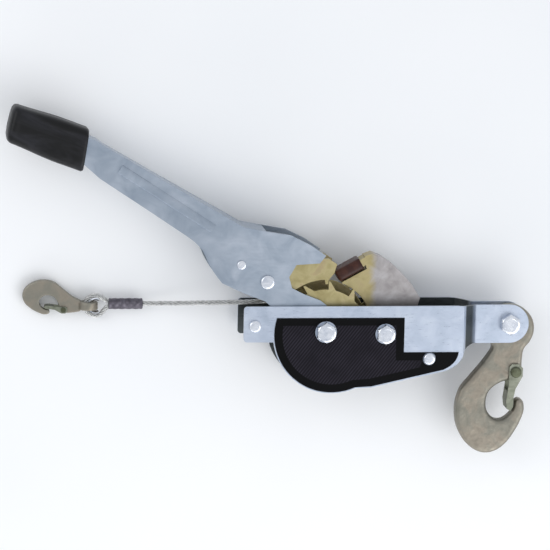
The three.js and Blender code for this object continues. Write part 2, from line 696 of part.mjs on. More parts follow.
// ---------- rope ----------
const leadPoints = [
  [-19, 29.6, 37], [-40, 27.6, 35.6], [-60, 25.8, 33.8], [-80, 24.2, 30.9], [-100, 22.9, 26.6],
  [-120, 21.7, 21.3], [-138, 20.6, 16.6], [-155, 19.8, 12.4], [-166, 19.3, 10.3], [-174.7, 19.2, 9.8],
];

function addRope() {
  addPiece('rope_lead', wire(leadPoints, ropeDiameter, 18, 10), steel, puller);
  const ferruleLeft = ferruleRight - ferruleLength;
  const ferrule = turned(0, 0, [
    [0, 0], [ferruleRadius - 1, 0], [ferruleRadius, 1.2], [ferruleRadius, ferruleLength - 1.2],
    [ferruleRadius - 1, ferruleLength], [0, ferruleLength],
  ], 20);
  ferrule.rotateY(Math.PI / 2);
  ferrule.translate(ferruleLeft, ferruleY, rearEyeZ);
  addPiece('ferrule', ferrule, darkSteel, puller);
  // The eye leaves the ferrule as two strands that meet round the rear hook's ring.
  const eyeRight = ferruleLeft - touchGap;
  const loopRadius = 10;
  const loopX = rearEyeX - rearEyeHole + touchGap + ropeRadius + loopRadius;
  const strandOffset = ropeRadius + touchGap;
  const eyePoints = [[eyeRight, ferruleY + strandOffset, rearEyeZ],
    [eyeRight - 1.2, ferruleY + strandOffset, rearEyeZ]];
  for (let degrees = 60; degrees <= 300; degrees += 24) {
    const turn = at(loopRadius, degrees);
    eyePoints.push([loopX + turn.x, rearEyeY + turn.y, rearEyeZ]);
  }
  eyePoints.push([eyeRight - 1.2, ferruleY - strandOffset, rearEyeZ]);
  eyePoints.push([eyeRight, ferruleY - strandOffset, rearEyeZ]);
  addPiece('rope_eye', wire(eyePoints, ropeDiameter, 22, 8), steel, puller);
  addPiece('thimble', thimble(loopX, loopRadius), zinc, puller);
}

// A bent strip lining the inside of the rope eye.
function thimble(loopX, loopRadius) {
  const outer = loopRadius - ropeRadius - touchGap;
  const inner = outer - 1;
  const shape = new THREE.Shape();
  const open = THREE.MathUtils.degToRad(60);
  const full = THREE.MathUtils.degToRad(300);
  shape.absarc(0, 0, outer, open, full, false);
  shape.absarc(0, 0, inner, full, open, true);
  const geometry = slab(shape, -ropeRadius, ropeRadius, 14);
  geometry.translate(loopX, rearEyeY, rearEyeZ);
  return geometry;
}

addSidePlates();
addLabels();
addFrameFasteners();
addDrum();
addLever();
addGrip();
addDrivePawl();
addStopPawl();
addPawlSprings();
addFrontHook();
addRearHook();
addRope();

export default puller;
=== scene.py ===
"""A hand ratchet cable puller lying on its side, in metres: drum axis up, neck and big hook
towards +X, wire rope and small hook towards -X, lever up and to the left."""
import math

import bmesh
import bpy
from mathutils import Matrix, Vector, noise


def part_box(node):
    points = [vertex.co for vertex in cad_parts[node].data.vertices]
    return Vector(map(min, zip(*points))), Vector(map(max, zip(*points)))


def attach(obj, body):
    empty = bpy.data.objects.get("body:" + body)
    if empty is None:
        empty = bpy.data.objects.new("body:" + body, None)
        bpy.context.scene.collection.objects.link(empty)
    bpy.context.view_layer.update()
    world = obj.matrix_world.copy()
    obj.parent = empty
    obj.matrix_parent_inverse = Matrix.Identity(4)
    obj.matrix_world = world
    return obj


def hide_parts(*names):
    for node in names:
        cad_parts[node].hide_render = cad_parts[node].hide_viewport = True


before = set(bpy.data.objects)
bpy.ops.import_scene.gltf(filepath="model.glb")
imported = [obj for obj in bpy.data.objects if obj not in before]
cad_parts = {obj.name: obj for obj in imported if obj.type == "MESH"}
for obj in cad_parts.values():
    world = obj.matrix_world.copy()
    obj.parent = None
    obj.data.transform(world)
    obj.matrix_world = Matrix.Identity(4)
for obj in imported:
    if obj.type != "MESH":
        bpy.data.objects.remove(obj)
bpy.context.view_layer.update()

MM = 0.001
TURN = 2 * math.pi
MIDDLE = (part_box("side_plate_lower")[0].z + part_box("side_plate_upper")[1].z) / 2  # of the frame
PLATE_INSIDE = 0.023  # half the gap between the side plates
NECK_START = 0.146  # where the side plates begin to step in
GRIP_SLOPE = math.radians(-22.4)


def link(piece):
    bpy.context.scene.collection.objects.link(piece)
    return piece


def metres(points):
    return [Vector(point) * MM for point in points]


def flat(points, height=MIDDLE):
    """Points drawn in millimetres on the frame's side, as points in metres at one height."""
    return [Vector((x * MM, y * MM, height)) for x, y in points]


# ---------- camera ----------
IMAGE_FIELD = 0.5388  # metres across the view at the frame's middle
CAMERA_DISTANCE = 4.0  # a long lens, so that parallel edges look parallel
CAMERA_ROLL = 0.0207  # radians
SENSOR = 36.0

camera_back = Vector((-0.1319, 0.1678, 0.977)).normalized()
camera_right = Vector((0, 1, 0)).cross(camera_back).normalized()
camera_right.rotate(Matrix.Rotation(CAMERA_ROLL, 3, camera_back))
camera_up = camera_back.cross(camera_right)
camera_target = Vector((-0.048, 0.0523, MIDDLE))
camera = link(bpy.data.objects.new("camera", bpy.data.cameras.new("camera")))
camera.data.sensor_width = SENSOR
camera.data.lens = SENSOR * CAMERA_DISTANCE / IMAGE_FIELD
camera.matrix_world = Matrix.Translation(camera_target + camera_back * CAMERA_DISTANCE) @ Matrix(
    (camera_right, camera_up, camera_back)).transposed().to_4x4()
bpy.context.scene.camera = camera


# ---------- node helpers ----------
def linear(code):
    """An sRGB hex value such as #c9d0dc as linear red, green, blue and alpha."""
    channels = [int(code[i:i + 2], 16) / 255 for i in (1, 3, 5)]
    return [c / 12.92 if c <= 0.04045 else ((c + 0.055) / 1.055) ** 2.4 for c in channels] + [1.0]


def add(tree, kind, inputs=None, **settings):
    """Adds a node with its settings; an input is a value, or another node's output to link."""
    node = tree.nodes.new(kind)
    for name, value in settings.items():
        setattr(node, name, value)
    for name, value in (inputs or {}).items():
        if isinstance(value, bpy.types.NodeSocket):
            tree.links.new(value, node.inputs[name])
        else:
            node.inputs[name].default_value = value
    return node


def start_material(name):
    material = bpy.data.materials.new(name)
    material.use_nodes = True
    material.node_tree.nodes.clear()
    return material, material.node_tree


def ramp(tree, factor, stops):
    """A colour ramp: stops are (position, sRGB hex)."""
    node = add(tree, "ShaderNodeValToRGB", {"Fac": factor})
    elements = node.color_ramp.elements
    while len(elements) < len(stops):
        elements.new(0.5)
    for element, (position, code) in zip(elements, stops):
        element.position = position
        element.color = linear(code)
    return node.outputs["Color"]


def close_material(tree, shader):
    add(tree, "ShaderNodeOutputMaterial", {"Surface": shader.outputs[0]})


def clouds(tree, coordinates, size, detail=3.0, roughness=0.55, distortion=0.0):
    """Soft noise whose patches are about size metres across."""
    return add(tree, "ShaderNodeTexNoise", {
        "Vector": coordinates, "Scale": 1 / size, "Detail": detail, "Roughness": roughness,
        "Distortion": distortion}).outputs["Fac"]


def between(tree, value, low, high, from_low=0.3, from_high=0.7):
    return add(tree, "ShaderNodeMapRange", {
        "Value": value, "From Min": from_low, "From Max": from_high, "To Min": low,
        "To Max": high}).outputs["Result"]


# ---------- materials ----------
def tumbled(tree, place, shiny, dull):
    """Roughness with the fine scratches of tumbling in the barrel. Real ones are under 0.1 mm wide;
    these are drawn at about 1 mm to show."""
    stretched = add(tree, "ShaderNodeMapping", {
        "Vector": place, "Rotation": (0.2, 0.3, 0.7), "Scale": (1.0, 9.0, 4.0)}).outputs[0]
    return between(tree, clouds(tree, stretched, 0.009, detail=5.0, roughness=0.7), shiny, dull)


def close_metal(tree, place, colour, finish, metallic):
    """Ends a plated metal, with the faint unevenness of sheet: its grain is drawn at 1.2 mm."""
    relief = add(tree, "ShaderNodeBump", {
        "Height": clouds(tree, place, 0.0012, detail=2.0), "Strength": 0.25,
        "Distance": 0.00004}).outputs["Normal"]
    close_material(tree, add(tree, "ShaderNodeBsdfPrincipled", {
        "Base Color": colour, "Metallic": metallic, "Roughness": finish, "Normal": relief}))


def plated(name, stops, roughness, patch=0.011, metallic=0.95):
    """Plating on pressed or turned steel: soft patches of colour from the bath, and scratches."""
    material, tree = start_material(name)
    place = add(tree, "ShaderNodeTexCoord").outputs["Object"]
    colour = ramp(tree, clouds(tree, place, patch, detail=4.0, distortion=0.6), stops)
    close_metal(tree, place, colour, tumbled(tree, place, *roughness), metallic)
    return material


# Clear zinc on pressed plate: pale and slightly blue, with cloudy patches.
CLEAR_ZINC = [(0.25, "#b0bbca"), (0.5, "#c0c9d8"), (0.75, "#ced6e2")]
CLEAR_ZINC_GLOSS = (0.24, 0.44)
CLEAR_ZINC_PATCH = 0.022
zinc_plate = plated("clear_zinc_on_pressed_steel", CLEAR_ZINC, CLEAR_ZINC_GLOSS,
                    patch=CLEAR_ZINC_PATCH)
# The same bath on the lever: its pressed sides are a little duller.
zinc_lever = plated("clear_zinc_on_lever_pressing",
                    [(0.25, "#929eac"), (0.5, "#a7b1bd"), (0.75, "#b9c1cc")], (0.28, 0.50),
                    patch=0.024)
# Bright zinc on turned and headed fasteners.
bright_zinc = plated("bright_zinc_on_fasteners",
                     [(0.3, "#d5dae4"), (0.7, "#f4f6fa")], (0.16, 0.30), patch=0.006)
# Yellow chromate on zinc: gold with faint pink and green tints where the film is thicker.
yellow_zinc = plated("yellow_chromate_zinc",
                     [(0.2, "#988b61"), (0.42, "#aca074"), (0.56, "#b9ad82"), (0.68, "#b2a07c"),
                      (0.82, "#aaa57b")], (0.30, 0.47), patch=0.014)
# The latches' dull, slightly olive plating.
latch_zinc = plated("dull_olive_zinc_on_latches",
                    [(0.3, "#707366"), (0.5, "#898c7d"), (0.72, "#9d9f91")], (0.40, 0.58),
                    patch=0.008)
# The same plating on the latches' rivets, painted darker as shade on their small heads.
olive_rivet = plated("olive_zinc_on_latch_rivets", [(0.3, "#505341"), (0.7, "#6f735f")],
                     (0.38, 0.55), patch=0.005)
# Bare steel of spools, tubes and springs: neutral grey under a thin oil.
plain_steel = plated("bare_cold_rolled_steel",
                     [(0.3, "#8d8e90"), (0.7, "#bcbcbc")], (0.28, 0.44), patch=0.005)
# Aluminium squeezed on the rope: dull and stained grey-violet by the dies.
ferrule_alloy = plated("pressed_aluminium_ferrule",
                       [(0.3, "#5a565e"), (0.5, "#6c6870"), (0.72, "#807c85")], (0.48, 0.62),
                       patch=0.005)
# Oiled sintered bronze: warm brown.
bronze = plated("sintered_bronze_bush", [(0.3, "#8a6434"), (0.7, "#b68d52")], (0.35, 0.5))
# Blackened spring steel of the lock washers: dark and even.
dark_steel = plated("blackened_spring_steel",
                    [(0.3, "#5d5a60"), (0.7, "#85828a")], (0.34, 0.5), patch=0.004)
# Galvanised wire: pale neutral grey, a little mixed from wire to wire.
wire = plated("galvanised_steel_wire",
              [(0.3, "#a3a3a1"), (0.5, "#c6c6c4"), (0.7, "#dcdcda")], (0.30, 0.48), patch=0.003,
              metallic=0.85)


def plate_zinc():
    """The side plates: pale zinc outside, darkened with painted shade where they face each other."""
    material, tree = start_material("clear_zinc_on_side_plates")
    place = add(tree, "ShaderNodeTexCoord").outputs["Object"]
    pale = ramp(tree, clouds(tree, place, CLEAR_ZINC_PATCH, detail=4.0, distortion=0.6), CLEAR_ZINC)
    spot = add(tree, "ShaderNodeSeparateXYZ", {"Vector": place})
    centred = add(tree, "ShaderNodeMath", {0: spot.outputs["Z"], 1: MIDDLE}, operation="SUBTRACT")
    depth = add(tree, "ShaderNodeMath", {0: centred.outputs[0]}, operation="ABSOLUTE").outputs[0]
    inside = between(tree, depth, 0.9, 0.0, PLATE_INSIDE + 0.0001, PLATE_INSIDE + 0.0012)
    before_neck = between(tree, spot.outputs["X"], 1.0, 0.0, NECK_START, NECK_START + 0.006)
    painted_gap_shade = add(tree, "ShaderNodeMath", {0: inside, 1: before_neck},
                  operation="MULTIPLY").outputs[0]
    # The dark grey-green on the facing sides, short of the neck, is painted shade between the plates.
    colour = add(tree, "ShaderNodeMix", {0: painted_gap_shade, 6: pale, 7: linear("#3c403a")},
                 data_type="RGBA").outputs[2]
    close_metal(tree, place, colour, tumbled(tree, place, *CLEAR_ZINC_GLOSS), 0.95)
    return material


def pawl_plating():
    """Yellow chromate on the stop pawl: gold beside the drum, rubbed back to grey zinc over the
    crown that the hand and the plates wear."""
    material, tree = start_material("worn_yellow_chromate_on_stop_pawl")
    place = add(tree, "ShaderNodeTexCoord").outputs["Object"]
    patches = clouds(tree, place, 0.012, detail=4.0, distortion=0.6)
    gold = ramp(tree, patches, [(0.22, "#9d9067"), (0.5, "#b4a77c"), (0.78, "#ae9e7b")])
    grey = ramp(tree, patches, [(0.26, "#979291"), (0.5, "#ada8a7"), (0.74, "#bcb9b9")])
    across = add(tree, "ShaderNodeSeparateXYZ", {"Vector": place}).outputs["X"]
    # The gold gives way to grey in a ragged band about 7 mm wide.
    ragged = add(tree, "ShaderNodeMath", {0: patches, 1: 0.012}, operation="MULTIPLY").outputs[0]
    edge = add(tree, "ShaderNodeMath", {0: across, 1: ragged}, operation="ADD").outputs[0]
    worn = between(tree, edge, 0.0, 1.0, 0.050, 0.057)
    colour = add(tree, "ShaderNodeMix", {0: worn, 6: gold, 7: grey}, data_type="RGBA").outputs[2]
    finish = between(tree, clouds(tree, place, 0.004, detail=5.0), 0.32, 0.5)
    close_metal(tree, place, colour, finish, 0.92)
    return material


def forged_steel():
    """Drop-forged steel with dull olive chromate: mill scale pits, brighter worn ridges and darker
    hollows."""
    material, tree = start_material("drop_forged_olive_chromate")
    place = add(tree, "ShaderNodeTexCoord").outputs["Object"]
    patches = clouds(tree, place, 0.020, detail=5.0, distortion=0.8)
    colour = ramp(tree, patches, [(0.22, "#76746a"), (0.42, "#89867b"), (0.58, "#958d80"),
                                  (0.78, "#857e72")])
    crest = add(tree, "ShaderNodeNewGeometry").outputs["Pointiness"]
    worn = between(tree, crest, 0.0, 0.7, 0.50, 0.58)
    rubbed = add(tree, "ShaderNodeMix", {0: worn, 6: colour, 7: linear("#a9a69a")},
                 data_type="RGBA").outputs[2]
    # Darker in the hollows, where the mesh's pointiness is low.
    hollow_darkness = between(tree, crest, 0.0, 0.8, 0.49, 0.44)
    shaded = add(tree, "ShaderNodeMix", {0: hollow_darkness, 6: rubbed, 7: linear("#3f3c30")},
                 data_type="RGBA").outputs[2]
    finish = between(tree, clouds(tree, place, 0.004, detail=4.0), 0.38, 0.62)
    pits = add(tree, "ShaderNodeTexVoronoi", {
        "Vector": place, "Scale": 1 / 0.0018}, feature="SMOOTH_F1").outputs["Distance"]
    scale = clouds(tree, place, 0.0016, detail=5.0, roughness=0.7)
    height = add(tree, "ShaderNodeMath", {0: pits, 1: scale}, operation="MULTIPLY").outputs[0]
    relief = add(tree, "ShaderNodeBump", {
        "Height": height, "Strength": 0.55, "Distance": 0.00035}).outputs["Normal"]
    shader = add(tree, "ShaderNodeBsdfPrincipled", {
        "Base Color": shaded, "Metallic": 0.82, "Roughness": finish, "Normal": relief})
    close_material(tree, shader)
    return material


def dipped(name, dark, light, roughness, sheen, turn=0.0, stretch=1.0):
    """Plastisol dipped over steel: soft satin skin with a fine orange peel, and lighter scuffs drawn
    out along the way that a hand rubs it; on the black grip these streaks are also a painted sheen."""
    material, tree = start_material(name)
    place = add(tree, "ShaderNodeTexCoord").outputs["Object"]
    rubbed = add(tree, "ShaderNodeMapping", {
        "Vector": place, "Rotation": (0, 0, turn), "Scale": (stretch, 1, 1)},
        vector_type="TEXTURE").outputs[0]
    scuffs_and_sheen = clouds(tree, rubbed, 0.013, detail=6.0, roughness=0.65, distortion=1.0)
    # On the black grip the lighter colour along the streaks is painted sheen as well as scuffs.
    colour = ramp(tree, scuffs_and_sheen, [(0.42, dark), (0.75, light)])
    finish = between(tree, scuffs_and_sheen, roughness[0], roughness[1])
    peel = clouds(tree, place, 0.0011, detail=2.0)
    relief = add(tree, "ShaderNodeBump", {
        "Height": peel, "Strength": 0.35, "Distance": 0.00012}).outputs["Normal"]
    shader = add(tree, "ShaderNodeBsdfPrincipled", {
        "Base Color": colour, "Roughness": finish, "Normal": relief, "IOR": 1.53,
        "Specular IOR Level": 0.3, "Sheen Weight": sheen, "Sheen Roughness": 0.4})
    close_material(tree, shader)
    return material


SCREEN_PITCH = 0.0026  # of the labels' printed lines


def printed_film(name, ground, stripe, roughness):
    """Glossy film stuck on the plate, printed with a plain even screen of slanting lines."""
    material, tree = start_material(name)
    place = add(tree, "ShaderNodeTexCoord").outputs["Object"]
    slanted = add(tree, "ShaderNodeMapping", {
        "Vector": place, "Rotation": (0, 0, math.radians(38))}).outputs[0]
    # The real screen is about 0.6 mm; its lines are drawn four times as coarse, so that they show.
    lines = add(tree, "ShaderNodeTexWave", {
        "Vector": slanted, "Scale": 2 / (TURN * SCREEN_PITCH), "Distortion": 0.0},
        bands_direction="X").outputs["Fac"]
    mottle = clouds(tree, place, 0.022, detail=3.0)
    shade = add(tree, "ShaderNodeMath", {0: lines, 1: mottle}, operation="MULTIPLY").outputs[0]
    colour = ramp(tree, shade, [(0.12, ground), (0.55, stripe)])
    finish = between(tree, clouds(tree, place, 0.006, detail=4.0), *roughness)
    shader = add(tree, "ShaderNodeBsdfPrincipled", {
        "Base Color": colour, "Roughness": finish, "IOR": 1.49, "Specular IOR Level": 0.1})
    close_material(tree, shader)
    return material


side_zinc = plate_zinc()
forged = forged_steel()
pawl_chromate = pawl_plating()
# Black vinyl with lighter grey streaks along the grip, part scuffs and part painted sheen; brown
# vinyl on the thumb pad.
black_vinyl = dipped("black_dipped_vinyl", "#020203", "#25252b", (0.34, 0.5), 0.0,
                     GRIP_SLOPE, 5.0)
brown_dip = dipped("brown_dipped_vinyl", "#34150c", "#57301f", (0.30, 0.46), 0.02)
# The labels: a black border round a dark grey field.
label_border = printed_film("black_gloss_film", "#020203", "#060608", (0.35, 0.5))
label_panel = printed_film("dark_grey_printed_film", "#131117", "#2c2932", (0.38, 0.52))


# ---------- mesh helpers ----------
def cad_shape(node):
    """A CAD node's mesh with its triangles joined and its flat faces made whole."""
    shape = bmesh.new()
    shape.from_mesh(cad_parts[node].data)
    bmesh.ops.remove_doubles(shape, verts=shape.verts, dist=2e-6)
    bmesh.ops.dissolve_limit(shape, angle_limit=math.radians(0.6), verts=shape.verts,
                             edges=shape.edges)
    return shape


def settle(piece):
    """Works the piece's modifiers into its mesh."""
    graph = bpy.context.evaluated_depsgraph_get()
    mesh = bpy.data.meshes.new_from_object(piece.evaluated_get(graph))
    piece.modifiers.clear()
    old = piece.data
    piece.data = mesh
    bpy.data.meshes.remove(old)
    return piece


def object_from(name, shape):
    mesh = bpy.data.meshes.new(name)
    shape.to_mesh(mesh)
    shape.free()
    return link(bpy.data.objects.new(name, mesh))


def shade(piece, material, sharp=34):
    piece.data.materials.clear()
    piece.data.materials.append(material)
    piece.data.shade_smooth()
    if sharp:
        piece.data.set_sharp_from_angle(angle=math.radians(sharp))
    return piece


def place(piece, body, slot, nodes=()):
    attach(piece, body)
    if nodes:
        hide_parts(*nodes)
    return piece


def edged(name, shape, material, width, segments=2, angle=32):
    """A mesh whose sharp edges are rounded over, with its flats kept flat."""
    piece = object_from(name, shape)
    bevel = piece.modifiers.new("edges", "BEVEL")
    bevel.width = width
    bevel.segments = segments
    bevel.limit_method = "ANGLE"
    bevel.angle_limit = math.radians(angle)
    bevel.use_clamp_overlap = True
    settle(piece)
    shade(piece, material, 50)
    normals = piece.modifiers.new("normals", "WEIGHTED_NORMAL")
    normals.keep_sharp = True
    return settle(piece)


def new_tree(name, inputs):
    """A geometry tree with one geometry in and out, and the named inputs: (kind, default)."""
    tree = bpy.data.node_groups.new(name, "GeometryNodeTree")
    tree.interface.new_socket("Geometry", in_out="INPUT", socket_type="NodeSocketGeometry")
    for label, (kind, default) in inputs.items():
        socket = tree.interface.new_socket(label, in_out="INPUT", socket_type=f"NodeSocket{kind}")
        if default is not None:
            socket.default_value = default
    tree.interface.new_socket("Geometry", in_out="OUTPUT", socket_type="NodeSocketGeometry")
    return tree, add(tree, "NodeGroupInput").outputs


def close_tree(tree, geometry, material):
    whole = add(tree, "GeometryNodeRealizeInstances", {"Geometry": geometry}).outputs[0]
    painted = add(tree, "GeometryNodeSetMaterial", {"Geometry": whole, "Material": material})
    add(tree, "NodeGroupOutput", {"Geometry": painted.outputs[0]})


def grown(name, tree, points, **inputs):
    """The plain mesh that a tree grows from a path of points."""
    mesh = bpy.data.meshes.new(name)
    mesh.from_pydata(points, [(i, i + 1) for i in range(len(points) - 1)], [])
    piece = link(bpy.data.objects.new(name, mesh))
    modifier = piece.modifiers.new(name, "NODES")
    modifier.node_group = tree
    for socket in tree.interface.items_tree:
        label = socket.name.lower().replace(" ", "_")
        if socket.in_out == "INPUT" and label in inputs:
            modifier[socket.identifier] = inputs[label]
    return settle(piece)


def smooth_path(points, spacing):
    """Points about spacing apart on a curve through the given ones."""
    ends = [points[0] * 2 - points[1], *points, points[-1] * 2 - points[-2]]
    path = []
    for before, start, end, after in zip(ends, ends[1:], ends[2:], ends[3:]):
        steps = max(1, round((end - start).length / spacing))
        for i in range(steps):
            t = i / steps
            path.append(0.5 * (2 * start + (end - before) * t
                               + (2 * before - 5 * start + 4 * end - after) * t ** 2
                               + (3 * start - before - 3 * end + after) * t ** 3))
    return [*path, points[-1]]


def rounded(corners, radius, steps=4, closed=True):
    """A flat outline's corners turned into short curves."""
    outline = []
    count = len(corners)
    for i, corner in enumerate(corners):
        point = Vector(corner)
        before = Vector(corners[i - 1])
        after = Vector(corners[(i + 1) % count])
        if not closed and i in (0, count - 1):
            outline.append(point)
            continue
        near = min(radius, (before - point).length * 0.45, (after - point).length * 0.45)
        start = point + (before - point).normalized() * near
        end = point + (after - point).normalized() * near
        for step in range(steps + 1):
            t = step / steps
            outline.append(start * (1 - t) ** 2 + point * 2 * t * (1 - t) + end * t ** 2)
    return outline


def skin(shape, rings, joined=False):
    """Faces from each ring of points to the next. The ends are capped, or joined to each other."""
    pairs = list(zip(rings, rings[1:]))
    if joined:
        pairs.append((rings[-1], rings[0]))
    else:
        shape.faces.new(list(reversed(rings[0])))
        shape.faces.new(rings[-1])
    for low, high in pairs:
        for j in range(len(low)):
            k = (j + 1) % len(low)
            shape.faces.new((low[j], low[k], high[k], high[j]))
    bmesh.ops.recalc_face_normals(shape, faces=shape.faces)
    return shape


def turned(profile, x, y, sides=64, flats=None, hollow=False):
    """A body turned about a vertical axis from (radius, height) points that run up its outside.
    Flats is a hexagon's size across them. A hollow one's profile closes on itself."""
    shape = bmesh.new()
    rings = []
    for radius, height in profile:
        ring = []
        for i in range(sides):
            angle = TURN * i / sides
            reach = radius
            if flats:
                off_flat = (angle + TURN / 12) % (TURN / 6) - TURN / 12
                reach = min(radius, flats / 2 / math.cos(off_flat))
            ring.append(shape.verts.new((x + reach * math.cos(angle), y + reach * math.sin(angle),
                                         height)))
        rings.append(ring)
    return skin(shape, rings, hollow)


def slab(outline, low, high):
    """A flat outline of (x, y) points in metres given a thickness."""
    shape = bmesh.new()
    return skin(shape, [[shape.verts.new((x, y, height)) for x, y in outline]
                        for height in (low, high)])


def drill(piece, bore):
    """Cuts a closed shape out of a piece."""
    punch = object_from("punch", bore)
    cut = piece.modifiers.new("bore", "BOOLEAN")
    cut.operation = "DIFFERENCE"
    cut.solver = "EXACT"
    cut.object = punch
    settle(piece)
    bpy.data.objects.remove(punch)


# ---------- trees ----------
def rope_tree():
    """Stranded rope along a path: a section of touching round strands, turned once in each lay
    length."""
    tree, given = new_tree("stranded_rope", {
        "Diameter": ("Float", 0.005), "Strands": ("Int", 6), "Lay Length": ("Float", 0.032),
        "Points Per Strand": ("Int", 8), "Material": ("Material", None)})
    path = add(tree, "GeometryNodeMeshToCurve", {"Mesh": given["Geometry"]}).outputs[0]
    along = add(tree, "GeometryNodeSplineParameter").outputs["Length"]
    turns = add(tree, "ShaderNodeMath", {0: along, 1: given["Lay Length"]},
                operation="DIVIDE").outputs[0]
    twist = add(tree, "ShaderNodeMath", {0: turns, 1: TURN}, operation="MULTIPLY").outputs[0]
    twisted = add(tree, "GeometryNodeSetCurveTilt", {"Curve": path, "Tilt": twist}).outputs[0]

    sides = add(tree, "ShaderNodeMath", {0: given["Strands"], 1: given["Points Per Strand"]},
                operation="MULTIPLY").outputs[0]
    circle = add(tree, "GeometryNodeCurvePrimitiveCircle", {
        "Resolution": sides, "Radius": 1.0}).outputs["Curve"]
    index = add(tree, "GeometryNodeInputIndex").outputs[0]
    share = add(tree, "ShaderNodeMath", {0: index, 1: given["Points Per Strand"]},
                operation="DIVIDE").outputs[0]
    within = add(tree, "ShaderNodeMath", {0: share}, operation="FRACT").outputs[0]
    centred = add(tree, "ShaderNodeMath", {0: within, 1: 0.5}, operation="SUBTRACT").outputs[0]
    sector = add(tree, "ShaderNodeMath", {0: TURN, 1: given["Strands"]},
                 operation="DIVIDE").outputs[0]
    angle = add(tree, "ShaderNodeMath", {0: centred, 1: sector}, operation="MULTIPLY").outputs[0]
    half_sector = add(tree, "ShaderNodeMath", {0: sector, 1: 0.5}, operation="MULTIPLY").outputs[0]
    strand = add(tree, "ShaderNodeMath", {0: half_sector}, operation="SINE").outputs[0]
    strand_squared = add(tree, "ShaderNodeMath", {0: strand, 1: 2.0}, operation="POWER").outputs[0]
    sine = add(tree, "ShaderNodeMath", {0: angle}, operation="SINE").outputs[0]
    sine_squared = add(tree, "ShaderNodeMath", {0: sine, 1: 2.0}, operation="POWER").outputs[0]
    left = add(tree, "ShaderNodeMath", {0: strand_squared, 1: sine_squared},
               operation="SUBTRACT").outputs[0]
    safe = add(tree, "ShaderNodeMath", {0: left, 1: 0.0}, operation="MAXIMUM").outputs[0]
    bulge = add(tree, "ShaderNodeMath", {0: safe}, operation="SQRT").outputs[0]
    cosine = add(tree, "ShaderNodeMath", {0: angle}, operation="COSINE").outputs[0]
    reach = add(tree, "ShaderNodeMath", {0: cosine, 1: bulge}, operation="ADD").outputs[0]
    whole = add(tree, "ShaderNodeMath", {0: strand, 1: 1.0}, operation="ADD").outputs[0]
    scaled = add(tree, "ShaderNodeMath", {0: reach, 1: whole}, operation="DIVIDE").outputs[0]
    radius = add(tree, "ShaderNodeMath", {0: given["Diameter"], 1: 0.5},
                 operation="MULTIPLY").outputs[0]
    out = add(tree, "ShaderNodeMath", {0: scaled, 1: radius}, operation="MULTIPLY").outputs[0]
    spot = add(tree, "GeometryNodeInputPosition").outputs[0]
    moved = add(tree, "ShaderNodeVectorMath", {0: spot, "Scale": out},
                operation="SCALE").outputs[0]
    section = add(tree, "GeometryNodeSetPosition", {
        "Geometry": circle, "Position": moved}).outputs[0]
    rope = add(tree, "GeometryNodeCurveToMesh", {
        "Curve": twisted, "Profile Curve": section, "Fill Caps": True}).outputs[0]
    close_tree(tree, rope, given["Material"])
    return tree


def wire_tree():
    """Round wire along a path."""
    tree, given = new_tree("round_wire", {
        "Diameter": ("Float", 0.0015), "Sides": ("Int", 14), "Material": ("Material", None)})
    path = add(tree, "GeometryNodeMeshToCurve", {"Mesh": given["Geometry"]}).outputs[0]
    radius = add(tree, "ShaderNodeMath", {0: given["Diameter"], 1: 0.5},
                 operation="MULTIPLY").outputs[0]
    circle = add(tree, "GeometryNodeCurvePrimitiveCircle", {
        "Resolution": given["Sides"], "Radius": radius}).outputs["Curve"]
    tube = add(tree, "GeometryNodeCurveToMesh", {
        "Curve": path, "Profile Curve": circle, "Fill Caps": True}).outputs[0]
    close_tree(tree, tube, given["Material"])
    return tree


def thread_tree():
    """A screw thread: a four-sided ridge wound round the bolt at its pitch."""
    tree, given = new_tree("screw_thread", {
        "Radius": ("Float", 0.006), "Length": ("Float", 0.004), "Pitch": ("Float", 0.00175),
        "Ridge": ("Float", 0.0007), "Place": ("Vector", None), "Material": ("Material", None)})
    turns = add(tree, "ShaderNodeMath", {0: given["Length"], 1: given["Pitch"]},
                operation="DIVIDE").outputs[0]
    helix = add(tree, "GeometryNodeCurveSpiral", {
        "Resolution": 40, "Rotations": turns, "Start Radius": given["Radius"],
        "End Radius": given["Radius"], "Height": given["Length"]}).outputs[0]
    section = add(tree, "GeometryNodeCurvePrimitiveCircle", {
        "Resolution": 4, "Radius": given["Ridge"]}).outputs["Curve"]
    ridge = add(tree, "GeometryNodeCurveToMesh", {
        "Curve": helix, "Profile Curve": section, "Fill Caps": True}).outputs[0]
    moved = add(tree, "GeometryNodeTransform", {
        "Geometry": ridge, "Translation": given["Place"]}).outputs[0]
    close_tree(tree, moved, given["Material"])
    return tree


ROPE = rope_tree()
WIRE = wire_tree()
THREAD = thread_tree()

# ---------- rope ----------
ROPE_DIAMETER = 0.005
LEAD = metres([
    (-19, 29.6, 37), (-40, 27.6, 35.6), (-60, 25.8, 33.8), (-80, 24.2, 30.9), (-100, 22.9, 26.6),
    (-120, 21.7, 21.3), (-138, 20.6, 16.6), (-155, 19.8, 12.4), (-166, 19.3, 10.3),
    (-174.7, 19.2, 9.8)])

lead_path = smooth_path(LEAD, 0.0016)
rope_lead = grown("wire_rope_lead", ROPE, lead_path, diameter=ROPE_DIAMETER, material=wire)
shade(rope_lead, wire, 60)
place(rope_lead, "frame", "wire_rope", ["rope_lead"])

